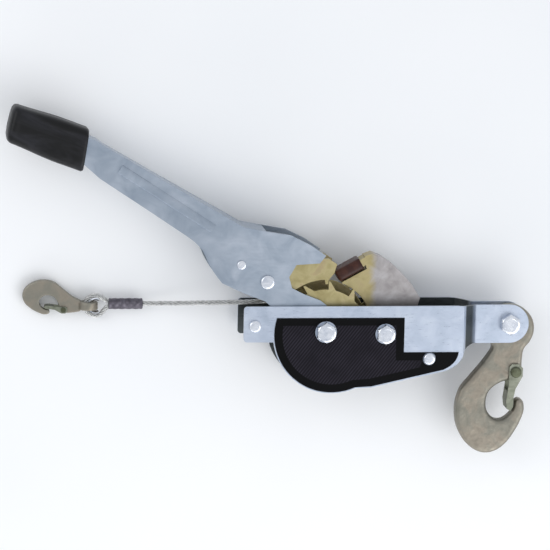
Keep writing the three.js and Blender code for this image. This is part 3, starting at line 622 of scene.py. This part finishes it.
# The eye: out of the ferrule, round the thimble and back.
ferrule_low, ferrule_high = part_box("ferrule")
FERRULE_Y = (ferrule_low.y + ferrule_high.y) / 2
FERRULE_Z = (ferrule_low.z + ferrule_high.z) / 2
EYE_CENTRE = Vector((-0.2215, 0.0175, FERRULE_Z))
EYE_RADIUS = 0.010
STRAND_OFFSET = 0.0028
eye_points = [Vector((ferrule_low.x + dx, FERRULE_Y + STRAND_OFFSET, FERRULE_Z))
              for dx in (0.002, -0.0008)]
for degrees in range(60, 301, 20):
    angle = math.radians(degrees)
    eye_points.append(EYE_CENTRE + Vector((math.cos(angle), math.sin(angle), 0)) * EYE_RADIUS)
eye_points += [Vector((ferrule_low.x + dx, FERRULE_Y - STRAND_OFFSET, FERRULE_Z))
               for dx in (-0.0008, 0.002)]
rope_eye = grown("wire_rope_eye", ROPE, smooth_path(eye_points, 0.0013), diameter=0.0048,
                 lay_length=0.030, material=wire)
shade(rope_eye, wire, 60)
place(rope_eye, "frame", "wire_rope", ["rope_eye"])


DIE_BITES = 5


def crimped_ferrule():
    """An oval sleeve squeezed by dies, with a raised land between each bite."""
    length = ferrule_high.x - ferrule_low.x
    stations, sides = 60, 36
    shape = bmesh.new()
    rings = []
    for i in range(stations + 1):
        t = i / stations
        bite = 0.5 - 0.5 * math.cos(TURN * t * DIE_BITES)
        near_end = min(t, 1 - t) * length
        lip = min(1.0, math.sqrt(near_end / 0.0012 + 0.45))
        wide = 0.0055 * lip * (1 - 0.06 * bite)
        tall = 0.0052 * lip * (1 - 0.13 * bite)
        rings.append([shape.verts.new((
            ferrule_low.x + t * length,
            FERRULE_Y + wide * math.cos(TURN * j / sides),
            FERRULE_Z + tall * math.sin(TURN * j / sides))) for j in range(sides)])
    return skin(shape, rings)


ferrule = shade(object_from("crimped_ferrule", crimped_ferrule()), ferrule_alloy, 40)
place(ferrule, "frame", "dark_steel", ["ferrule"])


def thimble_shape():
    """A gutter-shaped liner bent round inside the rope eye."""
    section = [(-0.0003, -0.0031), (-0.0010, -0.0030), (-0.0024, -0.0014), (-0.0028, 0.0),
               (-0.0024, 0.0014), (-0.0010, 0.0030), (-0.0003, 0.0031), (-0.0008, 0.0022),
               (-0.0017, 0.0010), (-0.0019, 0.0), (-0.0017, -0.0010), (-0.0008, -0.0022)]
    seat = EYE_RADIUS - 0.0022
    shape = bmesh.new()
    rings = []
    steps = 40
    for i in range(steps + 1):
        angle = math.radians(60 + 240 * i / steps)
        outward = Vector((math.cos(angle), math.sin(angle), 0))
        rings.append([shape.verts.new(EYE_CENTRE + outward * (seat + reach)
                                      + Vector((0, 0, height))) for reach, height in section])
    return skin(shape, rings)


thimble = shade(object_from("thimble_liner", thimble_shape()), bright_zinc, 40)
place(thimble, "frame", "zinc_plate", ["thimble"])
tuple(LEAD[0])
[tuple(p) for p in lead_path]

# Three layers wound on the spool; the last turn leaves it at the top, in line with the lead.
SPOOL_REACH = 0.0107  # of a turn's centre from the middle
LAYER_RADII = (0.0208, 0.0254, 0.0300)
STEPS_PER_TURN = 72
lead_depth = LEAD[0].z - MIDDLE


def winding_path():
    """Up, down and part of the way up again: each layer's first height, last height and turns."""
    layers = [(-SPOOL_REACH, SPOOL_REACH, 4.0), (SPOOL_REACH, -SPOOL_REACH, 4.0),
              (-SPOOL_REACH, lead_depth, 1.75)]
    finish_angle = TURN / 4
    angle = finish_angle - TURN * sum(turns for _, _, turns in layers)
    points = []
    radius = LAYER_RADII[0]
    for layer, (start, end, turns) in enumerate(layers):
        steps = round(turns * STEPS_PER_TURN)
        for i in range(steps):
            share = i / steps
            # The rope climbs onto the layer below over its first eighth of a turn.
            climb = min(1.0, share * turns * 8)
            at_radius = radius + (LAYER_RADII[layer] - radius) * climb
            points.append(Vector((at_radius * math.cos(angle), at_radius * math.sin(angle),
                                  MIDDLE + start + (end - start) * share)))
            angle += TURN * turns / steps
        radius = LAYER_RADII[layer]
    points.append(Vector((0, LAYER_RADII[2], MIDDLE + lead_depth)))
    points.append(Vector((-0.009, LAYER_RADII[2] - 0.0001, MIDDLE + lead_depth)))
    points.append(Vector((-0.0188, 0.0296, MIDDLE + lead_depth)))
    return points


winding = grown("wire_rope_winding", ROPE, winding_path(), diameter=ROPE_DIAMETER,
                points_per_strand=6, material=wire)
shade(winding, wire, 60)
place(winding, "drum", "wire_rope", ["rope_winding"])


# ---------- plates, wheels and pressings ----------
def round_edges(shape, edges, radius, segments):
    bmesh.ops.bevel(shape, geom=edges, offset=radius, offset_type="OFFSET", segments=segments,
                    profile=0.5, affect="EDGES", clamp_overlap=True)
    return shape


def round_corners(shape, radius, least=4, most=62):
    """Turns the corners of a cut outline, between two angles in degrees, into arcs."""
    corners = []
    for edge in shape.edges:
        run = edge.verts[1].co - edge.verts[0].co
        upright = abs(run.z) > 0.999 * run.length
        if upright and least < math.degrees(edge.calc_face_angle(0.0)) < most:
            corners.append(edge)
    return round_edges(shape, corners, radius, 3)


def softened(name, node, body, slot, material, width, segments=2, corner=0.0):
    """A CAD node's shape with rounded edges, in its place."""
    shape = cad_shape(node)
    if corner:
        round_corners(shape, corner)
    return place(edged(name, shape, material, width, segments), body, slot, [node])


SIDES = (("near", "upper"), ("far", "lower"))
for side, level in SIDES:
    softened(f"side_plate_{side}", f"side_plate_{level}", "frame", "zinc_plate", side_zinc, 0.0006)
for side, level in SIDES:
    softened(f"ratchet_wheel_{side}", f"ratchet_wheel_{level}", "drum", "yellow_zinc", yellow_zinc,
             0.0004)

# A plain ring inside the far wheel closes the feet of its teeth. Its faces stand in from the
# wheel's own.
FLANGE_BORE, FLANGE_REACH, FLANGE_CHAMFER = 0.020, 0.0458, 0.0004
wheel_low, wheel_high = (corner.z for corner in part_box("ratchet_wheel_lower"))
flange_low, flange_high = wheel_low + 0.0012, wheel_high - 0.0006
flange = turned([(FLANGE_BORE, flange_low), (FLANGE_REACH - FLANGE_CHAMFER, flange_low),
                 (FLANGE_REACH, flange_low + FLANGE_CHAMFER),
                 (FLANGE_REACH, flange_high - FLANGE_CHAMFER),
                 (FLANGE_REACH - FLANGE_CHAMFER, flange_high), (FLANGE_BORE, flange_high)],
                0.0, 0.0, 96, hollow=True)
place(shade(object_from("spool_flange", flange), yellow_zinc), "drum", "yellow_zinc")

softened("drive_pawl_pressing", "drive_pawl", "drive_pawl", "yellow_zinc", yellow_zinc, 0.0008,
         3, corner=0.0022)
softened("stop_pawl_pressing", "stop_pawl", "stop_pawl", "yellow_zinc", pawl_chromate, 0.0009,
         3, corner=0.003)
softened("front_latch_leaf", "front_latch", "front_latch", "zinc_plate", latch_zinc, 0.0004)
softened("rear_latch_leaf", "rear_latch", "rear_latch", "zinc_plate", latch_zinc, 0.00025)
softened("rear_latch_rivet", "rear_latch_pin", "rear_hook", "bright_zinc", olive_rivet, 0.0003)

# These turned bodies are right as they are.
for name in ("drum_core", "axle_sleeve", "drum_rivet_1", "drum_rivet_2", "drum_rivet_3"):
    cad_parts[name].material_slots[0].material = plain_steel
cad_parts["drum_bush"].material_slots[0].material = bronze

# ---------- lever ----------
GRIP_MOUTH = Vector((-0.236, 0.1763))
GRIP_ALONG = Vector((-math.cos(GRIP_SLOPE), -math.sin(GRIP_SLOPE)))
GRIP_UP = Vector((-math.sin(GRIP_SLOPE), math.cos(GRIP_SLOPE)))


def grip_point(along, across, out=0.0):
    """Along the grip from its mouth, across it in the lever's plane, and out of that plane."""
    spot = GRIP_MOUTH + GRIP_ALONG * along + GRIP_UP * across
    return Vector((spot.x, spot.y, MIDDLE + out))


CHANNEL_HALF_HEIGHT = 0.013
LEVER_BACK = [grip_point(0.066, CHANNEL_HALF_HEIGHT), grip_point(-0.006, CHANNEL_HALF_HEIGHT),
              *flat([(-218, 180.8), (-82, 103), (-60, 99)])]


def from_back(point):
    """How far a point is from the line of the lever's back, seen from the side."""
    nearest = 1.0
    for start, end in zip(LEVER_BACK, LEVER_BACK[1:]):
        run = (end - start).to_2d()
        offset = Vector((point.x, point.y)) - start.to_2d()
        share = max(0.0, min(1.0, offset.dot(run) / run.length_squared))
        nearest = min(nearest, (offset - run * share).length)
    return nearest


def lever_half_width(x):
    """Of the pressed channel, which narrows between two places along X."""
    wide, narrow = 0.0224, 0.014
    wide_until, narrow_from = -0.098, -0.175
    share = (wide_until - x) / (wide_until - narrow_from)
    return wide + (narrow - wide) * max(0.0, min(1.0, share))


def lever_shape():
    """The pressing, with the channel's two bends made round."""
    shape = cad_shape("lever_arm")
    bends = [edge for edge in shape.edges if all(
        from_back(v.co) < 0.0002 and abs(v.co.z - MIDDLE) > lever_half_width(v.co.x) - 0.0002
        for v in edge.verts)]
    return round_corners(round_edges(shape, bends, 0.0042, 5), 0.006)


lever = edged("lever_pressing", lever_shape(), zinc_lever, 0.0006, 2, 42)
place(lever, "lever", "zinc_plate", ["lever_arm"])


def rib_tree():
    """A pressed rib: a low half-round bead laid along a path, tapering into the plate at its ends."""
    tree, given = new_tree("pressed_rib", {
        "Half Width": ("Float", 0.004), "Rise": ("Float", 0.0012), "Material": ("Material", None)})
    path = add(tree, "GeometryNodeMeshToCurve", {"Mesh": given["Geometry"]}).outputs[0]
    share = add(tree, "GeometryNodeSplineParameter").outputs["Factor"]
    arch = add(tree, "ShaderNodeMath", {0: share, 1: math.pi}, operation="MULTIPLY").outputs[0]
    sine = add(tree, "ShaderNodeMath", {0: arch}, operation="SINE").outputs[0]
    taper = add(tree, "ShaderNodeMath", {0: sine, 1: 0.28}, operation="POWER").outputs[0]
    sized = add(tree, "GeometryNodeSetCurveRadius", {"Curve": path, "Radius": taper}).outputs[0]
    circle = add(tree, "GeometryNodeCurvePrimitiveCircle", {
        "Resolution": 20, "Radius": 1.0}).outputs["Curve"]
    shape = add(tree, "ShaderNodeCombineXYZ", {
        "X": given["Half Width"], "Y": given["Rise"], "Z": 1.0}).outputs[0]
    oval = add(tree, "GeometryNodeTransform", {"Geometry": circle, "Scale": shape}).outputs[0]
    bead = add(tree, "GeometryNodeCurveToMesh", {
        "Curve": sized, "Profile Curve": oval, "Fill Caps": True}).outputs[0]
    close_tree(tree, bead, given["Material"])
    return tree


RIB = rib_tree()
RIB_START, RIB_END = (-203.0, 159.0), (-112.0, 101.5)
for side, label in ((1, "near"), (-1, "far")):
    points = []
    for i in range(49):
        t = i / 48
        x = (RIB_START[0] + (RIB_END[0] - RIB_START[0]) * t) * MM
        y = (RIB_START[1] + (RIB_END[1] - RIB_START[1]) * t) * MM
        points.append(Vector((x, y, MIDDLE + side * lever_half_width(x))))
    rib = grown(f"lever_rib_{label}", RIB, points, half_width=0.0046, rise=0.0012,
                material=zinc_lever)
    shade(rib, zinc_lever, 0)
    place(rib, "lever", "zinc_plate")


GRIP_LENGTH = 0.0755
GRIP_END_SLANT, GRIP_MOUTH_SLANT = 0.0075, 0.0055
GRIP_HALF_HEIGHT, GRIP_HALF_WIDTH = 0.0222, 0.0171
FINGER_LINE_PITCH, FINGER_LINE_DEPTH = 0.0092, 0.0011


def grip_ring(t, sides):
    """A section's points, from the mouth at t = 0 to the end at 1, each (along, across, out)."""
    from_end = min(1.0, (1 - t) * GRIP_LENGTH / 0.0055)
    from_mouth = min(1.0, t * GRIP_LENGTH / 0.003)
    cap = math.sqrt(max(0.0, 1 - (1 - from_end) ** 2)) * 0.26 + 0.74
    lip = 0.93 + 0.07 * math.sqrt(max(0.0, 1 - (1 - from_mouth) ** 2))
    swell = 0.955 + 0.045 * math.sin(math.pi * min(1.0, t * 1.15)) ** 2 + 0.03 * t
    lines_end = max(0.0, min(1.0, (t - 0.10) * 14, (0.94 - t) * 14))
    squareness = 2 / 4.2  # of a superellipse
    for j in range(sides):
        c, s = math.cos(TURN * j / sides), math.sin(TURN * j / sides)
        across = math.copysign(abs(s) ** squareness, s) * GRIP_HALF_HEIGHT * swell * cap * lip
        # The back of the grip tapers to its end.
        across *= 0.97 - 0.30 * t if s > 0 else 1.0
        out = math.copysign(abs(c) ** squareness, c) * GRIP_HALF_WIDTH * min(1.0, swell) * cap * lip
        line = 0.5 + 0.5 * math.cos(TURN * across / FINGER_LINE_PITCH)
        in_field = max(0.0, 1 - abs(across) / 0.0135) * min(1.0, from_end, from_mouth * 3)
        pressed = FINGER_LINE_DEPTH * line * min(1.0, in_field * 3) * lines_end
        out -= math.copysign(pressed, out) * (abs(c) > 0.35)
        slant = across / GRIP_HALF_HEIGHT
        yield (t * (GRIP_LENGTH + GRIP_END_SLANT * 0.5 * (1 + slant))
               + (1 - t) * GRIP_MOUTH_SLANT * slant, across, out)


def grip_shape():
    """A moulded vinyl sleeve: full in the middle, with a rolled mouth, a slanted end and three
    shallow finger lines on each side."""
    stations, sides = 44, 72
    shape = bmesh.new()
    rings = [[shape.verts.new(grip_point(*spot)) for spot in grip_ring(i / stations, sides)]
             for i in range(stations + 1)]

    def shrunk(ring, share, depth):
        centre = sum((v.co for v in ring), Vector()) / sides
        step = Vector((GRIP_ALONG.x, GRIP_ALONG.y, 0)) * depth
        return [shape.verts.new(centre + (v.co - centre) * share + step) for v in ring]

    # The mouth turns in to the channel's pocket, and the end closes over a smaller ring.
    mouth, end = shrunk(rings[0], 0.80, 0.0), shrunk(rings[-1], 0.55, 0.0009)
    return skin(shape, [mouth, *rings, end])


grip = shade(object_from("vinyl_grip", grip_shape()), black_vinyl, 50)
place(grip, "lever", "black_vinyl", ["handle_grip"])


# ---------- thumb pad ----------
def worn_round(piece, voxel, rounds):
    """Skins a piece at a fine pitch and smooths it all over."""
    remesh = piece.modifiers.new("skin", "REMESH")
    remesh.mode = "VOXEL"
    remesh.voxel_size = voxel
    smooth = piece.modifiers.new("soften", "SMOOTH")
    smooth.iterations = rounds
    return settle(piece)


pad = worn_round(object_from("dipped_thumb_pad", cad_shape("thumb_pad")), 0.0007, 110)
shade(pad, brown_dip, 0)
place(pad, "stop_pawl", "brown_dip", ["thumb_pad"])


# ---------- hooks ----------
# Sizes of the hook's outline are the big hook's, in millimetres from its pin.
HOOK_EYE_RADIUS = 24
HOOK_EYE_CENTRE = (2, -6)  # the eye is set low, so it stands flush with the neck's top
LATCH_PIVOT = (8, -49)
LATCH_BOSS_RADIUS = 7.5
HOOK_OUTER = [(-16, -27), (-24, -39), (-38, -56), (-47, -68), (-51, -86), (-49, -103), (-41, -119),
              (-29, -129), (-16, -131), (-3, -125), (9, -110), (17, -93), (18, -84), (16, -78),
              (12, -76.5), (9, -79), (7.5, -86), (3, -93), (-4, -97.5), (-12, -96.5), (-19, -89),
              (-20.5, -78), (-17, -68), (-8, -61), (3, -57)]


def polar(radius, degrees, centre):
    angle = math.radians(degrees)
    return centre[0] + radius * math.cos(angle), centre[1] + radius * math.sin(angle)


def on_eye(degrees):
    return polar(HOOK_EYE_RADIUS, degrees, HOOK_EYE_CENTRE)


def hook_outline(with_eye, size):
    """The forging's outline, hanging along -Y from its eye, as fine points in metres."""
    left, neck, right = (-11, -15), (13, -26), (11, -15)
    if with_eye:
        left, neck, right = on_eye(222), (16, -27), on_eye(323)
    spacing = 1.6
    curve = smooth_path([Vector((*p, 0)) for p in [left, *HOOK_OUTER]], spacing)
    for degrees in range(-80, 29, 12):
        curve.append(Vector((*polar(LATCH_BOSS_RADIUS, degrees, LATCH_PIVOT), 0)))
    curve += smooth_path([Vector((*p, 0)) for p in [(14.5, -38), neck, right]], spacing)
    if with_eye:
        curve += [Vector((*on_eye(degrees), 0)) for degrees in range(-32, 216, 6)]
    return [(p.x * size * MM, p.y * size * MM) for p in curve]


def forged_hook(name, node, outline, thickness, placing, voxel, rounds, waviness, bores, ring=None):
    """The forging: drawn out, its edges rolled, joined to its ring, worn round, then drilled."""
    piece = object_from(name, slab(outline, -thickness / 2, thickness / 2))
    rolled = piece.modifiers.new("rolled", "BEVEL")
    rolled.width = thickness * 0.33
    rolled.segments = 5
    rolled.limit_method = "ANGLE"
    rolled.angle_limit = math.radians(50)
    settle(piece)
    if ring:
        lump = bpy.data.meshes.new("lump")
        ring.to_mesh(lump)
        ring.free()
        whole = bmesh.new()
        whole.from_mesh(piece.data)
        whole.from_mesh(lump)
        whole.to_mesh(piece.data)
        whole.free()
        bpy.data.meshes.remove(lump)
    worn_round(piece, voxel, rounds)
    rest = [(vertex.co.copy(), vertex.normal.copy()) for vertex in piece.data.vertices]
    for vertex, (spot, normal) in zip(piece.data.vertices, rest):
        bump = noise.noise(spot / 0.012) * 0.7 + noise.noise(spot / 0.004) * 0.3
        vertex.co = spot + normal * bump * waviness
    for bore in bores:
        drill(piece, bore)
    piece.data.transform(placing)
    shade(piece, forged, 40)
    return place(piece, node, "forged_steel", [node])


NECK_BOLT = Vector((0.185, 0.005, MIDDLE))
latch_x, latch_y = (value * MM for value in LATCH_PIVOT)
forged_hook("front_hook_forging", "front_hook", hook_outline(True, 1.0), 0.016,
            Matrix.Translation(NECK_BOLT), 0.0009, 8, 0.0003,
            [turned([(0.00635, -0.02), (0.00635, 0.02)], 0, 0, 48),
             turned([(0.0035, -0.02), (0.0035, 0.02)], latch_x, latch_y, 32)])

REAR_SCALE = 0.49
REAR_EYE = Vector((-0.229, 0.0175, 0.0098))
REAR_TILT = math.radians(4.4)


def lying_ring(outer, width):
    """A short cylinder whose axis lies along the small hook's eye."""
    shape = turned([(outer * 0.93, -width / 2), (outer, -width / 2 + 0.0006),
                    (outer, width / 2 - 0.0006), (outer * 0.93, width / 2)], 0, 0, 56)
    bmesh.ops.transform(shape, matrix=Matrix.Rotation(TURN / 4, 4, "Y"), verts=shape.verts)
    return shape


rear_place = (Matrix.Translation(REAR_EYE) @ Matrix.Rotation(-REAR_TILT, 4, "Y")
              @ Matrix.Rotation(-TURN / 4, 4, "Z"))
forged_hook("rear_hook_forging", "rear_hook", hook_outline(False, REAR_SCALE), 0.0085, rear_place,
            0.0005, 7, 0.00015,
            [lying_ring(0.0053, 0.016),
             turned([(0.00185, -0.01), (0.00185, 0.01)], latch_x * REAR_SCALE,
                    latch_y * REAR_SCALE, 24)], lying_ring(0.0098, 0.008))


# ---------- fasteners ----------
HEAD_HEIGHT = 0.0075


def hex_head(name, node, x, y, flats, shank):
    """A bolt with a chamfered hexagon head on a plain shank, standing above its plate."""
    low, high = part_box(node)
    seat = high.z - HEAD_HEIGHT
    corner = flats / math.sqrt(3)
    profile = [(shank - 0.0006, low.z), (shank, low.z + 0.0006), (shank, seat),
               (flats * 0.46, seat), (flats * 0.48, seat + 0.0004), (corner, seat + 0.0006),
               (corner, high.z - 0.0016), (flats * 0.52, high.z - 0.0008),
               (flats * 0.485, high.z - 0.0002), (flats * 0.455, high.z), (flats * 0.36, high.z),
               (flats * 0.34, high.z - 0.00025)]
    piece = shade(object_from(name, turned(profile, x, y, 96, flats)), bright_zinc, 24)
    return place(piece, "frame", "bright_zinc", [node])


def hex_nut(name, node, x, y, flats, bore):
    """A nut chamfered at both faces, outside and round its bore."""
    low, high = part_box(node)
    corner = flats / math.sqrt(3)
    lead_in = 0.0007
    profile = [(bore + lead_in, low.z), (flats * 0.46, low.z), (flats * 0.52, low.z + 0.0008),
               (corner, low.z + 0.0015), (corner, high.z - 0.0015),
               (flats * 0.52, high.z - 0.0008), (flats * 0.46, high.z), (bore + lead_in, high.z),
               (bore, high.z - lead_in), (bore, low.z + lead_in)]
    piece = shade(object_from(name, turned(profile, x, y, 96, flats, hollow=True)), zinc_plate, 24)
    return place(piece, "frame", "zinc_plate", [node])


def split_washer(name, node, x, y, bore):
    """A lock washer: a square-section ring cut through once and sprung into a slight rise."""
    low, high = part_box(node)
    outer = (high.x - low.x) / 2
    thick = (high.z - low.z) * 0.8
    rise = (high.z - low.z) - thick
    steps = 64
    shape = bmesh.new()
    rings = []
    for i in range(steps + 1):
        share = i / steps
        angle = math.radians(4 + 350 * share)
        bottom = low.z + rise * share
        corners = rounded([(bore, bottom), (outer, bottom), (outer, bottom + thick),
                           (bore, bottom + thick)], 0.0003, 2)
        rings.append([shape.verts.new((x + r * math.cos(angle), y + r * math.sin(angle), z))
                      for r, z in corners])
    piece = shade(object_from(name, skin(shape, rings)), dark_steel, 40)
    return place(piece, "frame", "dark_steel", [node])


def pinned(name, node, radius, head, body, material=bright_zinc):
    """A rivet or pin with a low domed head at each end."""
    dome = 0.62  # the head's flat top and its rise, as shares of its width and height
    low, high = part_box(node)
    x, y = (low.x + high.x) / 2, (low.y + high.y) / 2
    wide = (high.x - low.x) / 2
    profile = []
    for i in range(7):
        lift = i / 6
        profile.append((wide * (dome + (1 - dome) * math.sin(lift * TURN / 4)),
                        low.z + head * dome * (1 - math.cos(lift * TURN / 4))))
    profile.append((wide, low.z + head))
    profile.append((radius, low.z + head))
    top = [(r, high.z - (z - low.z)) for r, z in reversed(profile)]
    piece = shade(object_from(name, turned(profile + top, x, y, 56)), material, 40)
    return place(piece, body, "bright_zinc", [node])


def spacer(name, node):
    """A tube round a rivet between the side plates."""
    low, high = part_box(node)
    x, y = (low.x + high.x) / 2, (low.y + high.y) / 2
    outer, inner = (high.x - low.x) / 2, 0.00385
    profile = rounded([(inner, low.z), (outer, low.z), (outer, high.z), (inner, high.z)], 0.0004, 2)
    piece = shade(object_from(name, turned([tuple(p) for p in profile], x, y, 48, hollow=True)),
                  plain_steel, 40)
    return place(piece, "frame", "plain_steel", [node])


# Each bolt's name, place, size across its head's flats, shank radius and thread pitch.
BOLTS = (("axle", 0.0, 0.0, 0.018, 0.006, 0.00175),
         ("pawl", 0.059, -0.002, 0.017, 0.005, 0.0015),
         ("neck", 0.185, 0.005, 0.018, 0.006, 0.00175))
BOLT_PLAY = 0.0003
for stem, x, y, flats, shank, pitch in BOLTS:
    hex_head(f"{stem}_hex_bolt", f"{stem}_bolt", x, y, flats, shank)
    hex_nut(f"{stem}_hex_nut", f"{stem}_nut", x, y, flats, shank + BOLT_PLAY)
    split_washer(f"{stem}_split_washer", f"{stem}_lock_washer", x, y, shank + BOLT_PLAY)
    thread = grown(f"{stem}_bolt_thread", THREAD, [Vector((0, 0, 0))], radius=shank - BOLT_PLAY,
                   length=pitch * 2, pitch=pitch, ridge=pitch * 0.36,
                   place=(x, y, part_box(f"{stem}_bolt")[0].z + pitch * 0.5), material=bright_zinc)
    place(shade(thread, bright_zinc, 30), "frame", "bright_zinc")

pinned("tail_rivet_domed", "tail_rivet", 0.0035, 0.0026, "frame")
pinned("tie_rivet_domed", "tie_rivet", 0.0035, 0.0026, "frame")
pinned("drive_pawl_rivet", "drive_pawl_pin", 0.004, 0.0022, "lever")
pinned("spring_anchor_rivet", "spring_anchor_pin", 0.0025, 0.0016, "lever")
pinned("front_latch_rivet", "front_latch_pin", 0.0032, 0.0020, "front_hook", olive_rivet)
spacer("tail_spacer_tube", "tail_spacer")
spacer("tie_spacer_tube", "tie_spacer")


# ---------- springs ----------
def torsion_spring(name, node, body, centre, low, coil, size, start, end, inner_leg, outer_leg):
    """Wire that comes in along one leg, turns about its pin and leaves by the other; angles in
    degrees, sizes in millimetres from the frame's middle."""
    rise = size * 1.12

    def height(angle):
        return low + size / 2 + (angle - start) / 360 * rise

    points = [(*inner_leg, height(start))]
    steps = round((end - start) / 20)
    for i in range(steps + 1):
        angle = start + (end - start) * i / steps
        turn = math.radians(angle)
        points.append((centre[0] + coil * math.cos(turn), centre[1] + coil * math.sin(turn),
                       height(angle)))
    points.append((*outer_leg, height(end)))
    lifted = [Vector(p) * MM + Vector((0, 0, MIDDLE)) for p in points]
    spring = grown(name, WIRE, smooth_path(lifted, 0.0012), diameter=size * MM, material=plain_steel)
    return place(shade(spring, plain_steel, 60), body, "plain_steel", [node])


torsion_spring("drive_pawl_torsion_spring", "drive_pawl_spring", "lever", (-58, 49), 4, 9.5, 1.5,
               219, 710, (-80, 61), (-47.8, 51.5))
torsion_spring("stop_pawl_torsion_spring", "stop_pawl_spring", "frame", (59, -2), 19.0, 7, 1.2,
               180, 630, (51.5, 9), (72, -10))

# ---------- labels ----------
BELLY = Vector((0.0065, -0.0025))
PANEL_RADIUS = 0.0495  # of the printed panel's round end, inside the black border
FILM_THICKNESS = 0.00012


def panel_outline():
    """The label's inner field, eight millimetres inside its edge."""
    top = 0.0065
    start = math.degrees(math.asin((top - BELLY.y) / PANEL_RADIUS))
    points = [(0.0695, top), (0.0695, -0.0284), (0.0955, -0.0284), (0.0940, -0.0352),
              (0.0442, -0.0464)]
    first, last = -66, -180 - start
    for i in range(41):
        angle = math.radians(first + (last - first) * i / 40)
        points.append((BELLY.x + PANEL_RADIUS * math.cos(angle),
                       BELLY.y + PANEL_RADIUS * math.sin(angle)))
    return points


for side, label in ((1, "upper"), (-1, "lower")):
    border = edged(f"label_border_{label}", cad_shape(f"side_label_{label}"), label_border,
                   FILM_THICKNESS)
    place(border, "frame", "black_label", [f"side_label_{label}"])
    low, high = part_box(f"side_label_{label}")
    face = high.z if side > 0 else low.z
    panel = object_from(f"label_field_{label}",
                        slab(panel_outline(), *sorted((face, face + side * FILM_THICKNESS))))
    # The field has openings round the bolt heads, as the film under it has.
    for x, y, radius in ((0.0, 0.0, 0.0114), (0.059, -0.002, 0.0109)):
        drill(panel, turned([(radius, face - 0.002), (radius, face + 0.002)], x, y, 64))
    shade(panel, label_panel, 30)
    place(panel, "frame", "black_label")

# ---------- surroundings ----------
floor_material, floor_tree = start_material("pale_studio_floor")
floor_place = add(floor_tree, "ShaderNodeTexCoord").outputs["Object"]
floor_colour = ramp(floor_tree, clouds(floor_tree, floor_place, 0.5),
                    [(0.3, "#f2f3f4"), (0.7, "#f8f8f8")])
close_material(floor_tree, add(floor_tree, "ShaderNodeBsdfPrincipled", {
    "Base Color": floor_colour, "Roughness": 0.9}))
floor_mesh = bpy.data.meshes.new("floor")
floor_mesh.from_pydata([(-3, -3, 0), (3, -3, 0), (3, 3, 0), (-3, 3, 0)], [], [(0, 1, 2, 3)])
floor_mesh.materials.append(floor_material)
link(bpy.data.objects.new("floor", floor_mesh))

world = bpy.data.worlds.new("studio")
bpy.context.scene.world = world
world.use_nodes = True
world.node_tree.nodes.clear()
background = add(world.node_tree, "ShaderNodeBackground", {
    "Color": linear("#eef2f8"), "Strength": 0.80})
add(world.node_tree, "ShaderNodeOutputWorld", {"Surface": background.outputs[0]})


def soft_light(name, spot, size, power, aim=(-0.05, 0.05, 0.03)):
    light = bpy.data.lights.new(name, "AREA")
    light.shape = "RECTANGLE"
    light.size, light.size_y = size
    light.energy = power
    lamp = link(bpy.data.objects.new(name, light))
    lamp.location = spot
    lamp.rotation_euler = (Vector(aim) - Vector(spot)).to_track_quat("-Z", "Y").to_euler()


soft_light("key", (0.85, -0.95, 1.35), (1.6, 1.2), 13)
soft_light("fill", (-1.0, 0.5, 0.9), (0.8, 0.8), 3)
soft_light("rim", (-0.3, -1.1, 0.4), (1.2, 0.3), 2)
bpy.context.scene.view_settings.view_transform = "Standard"
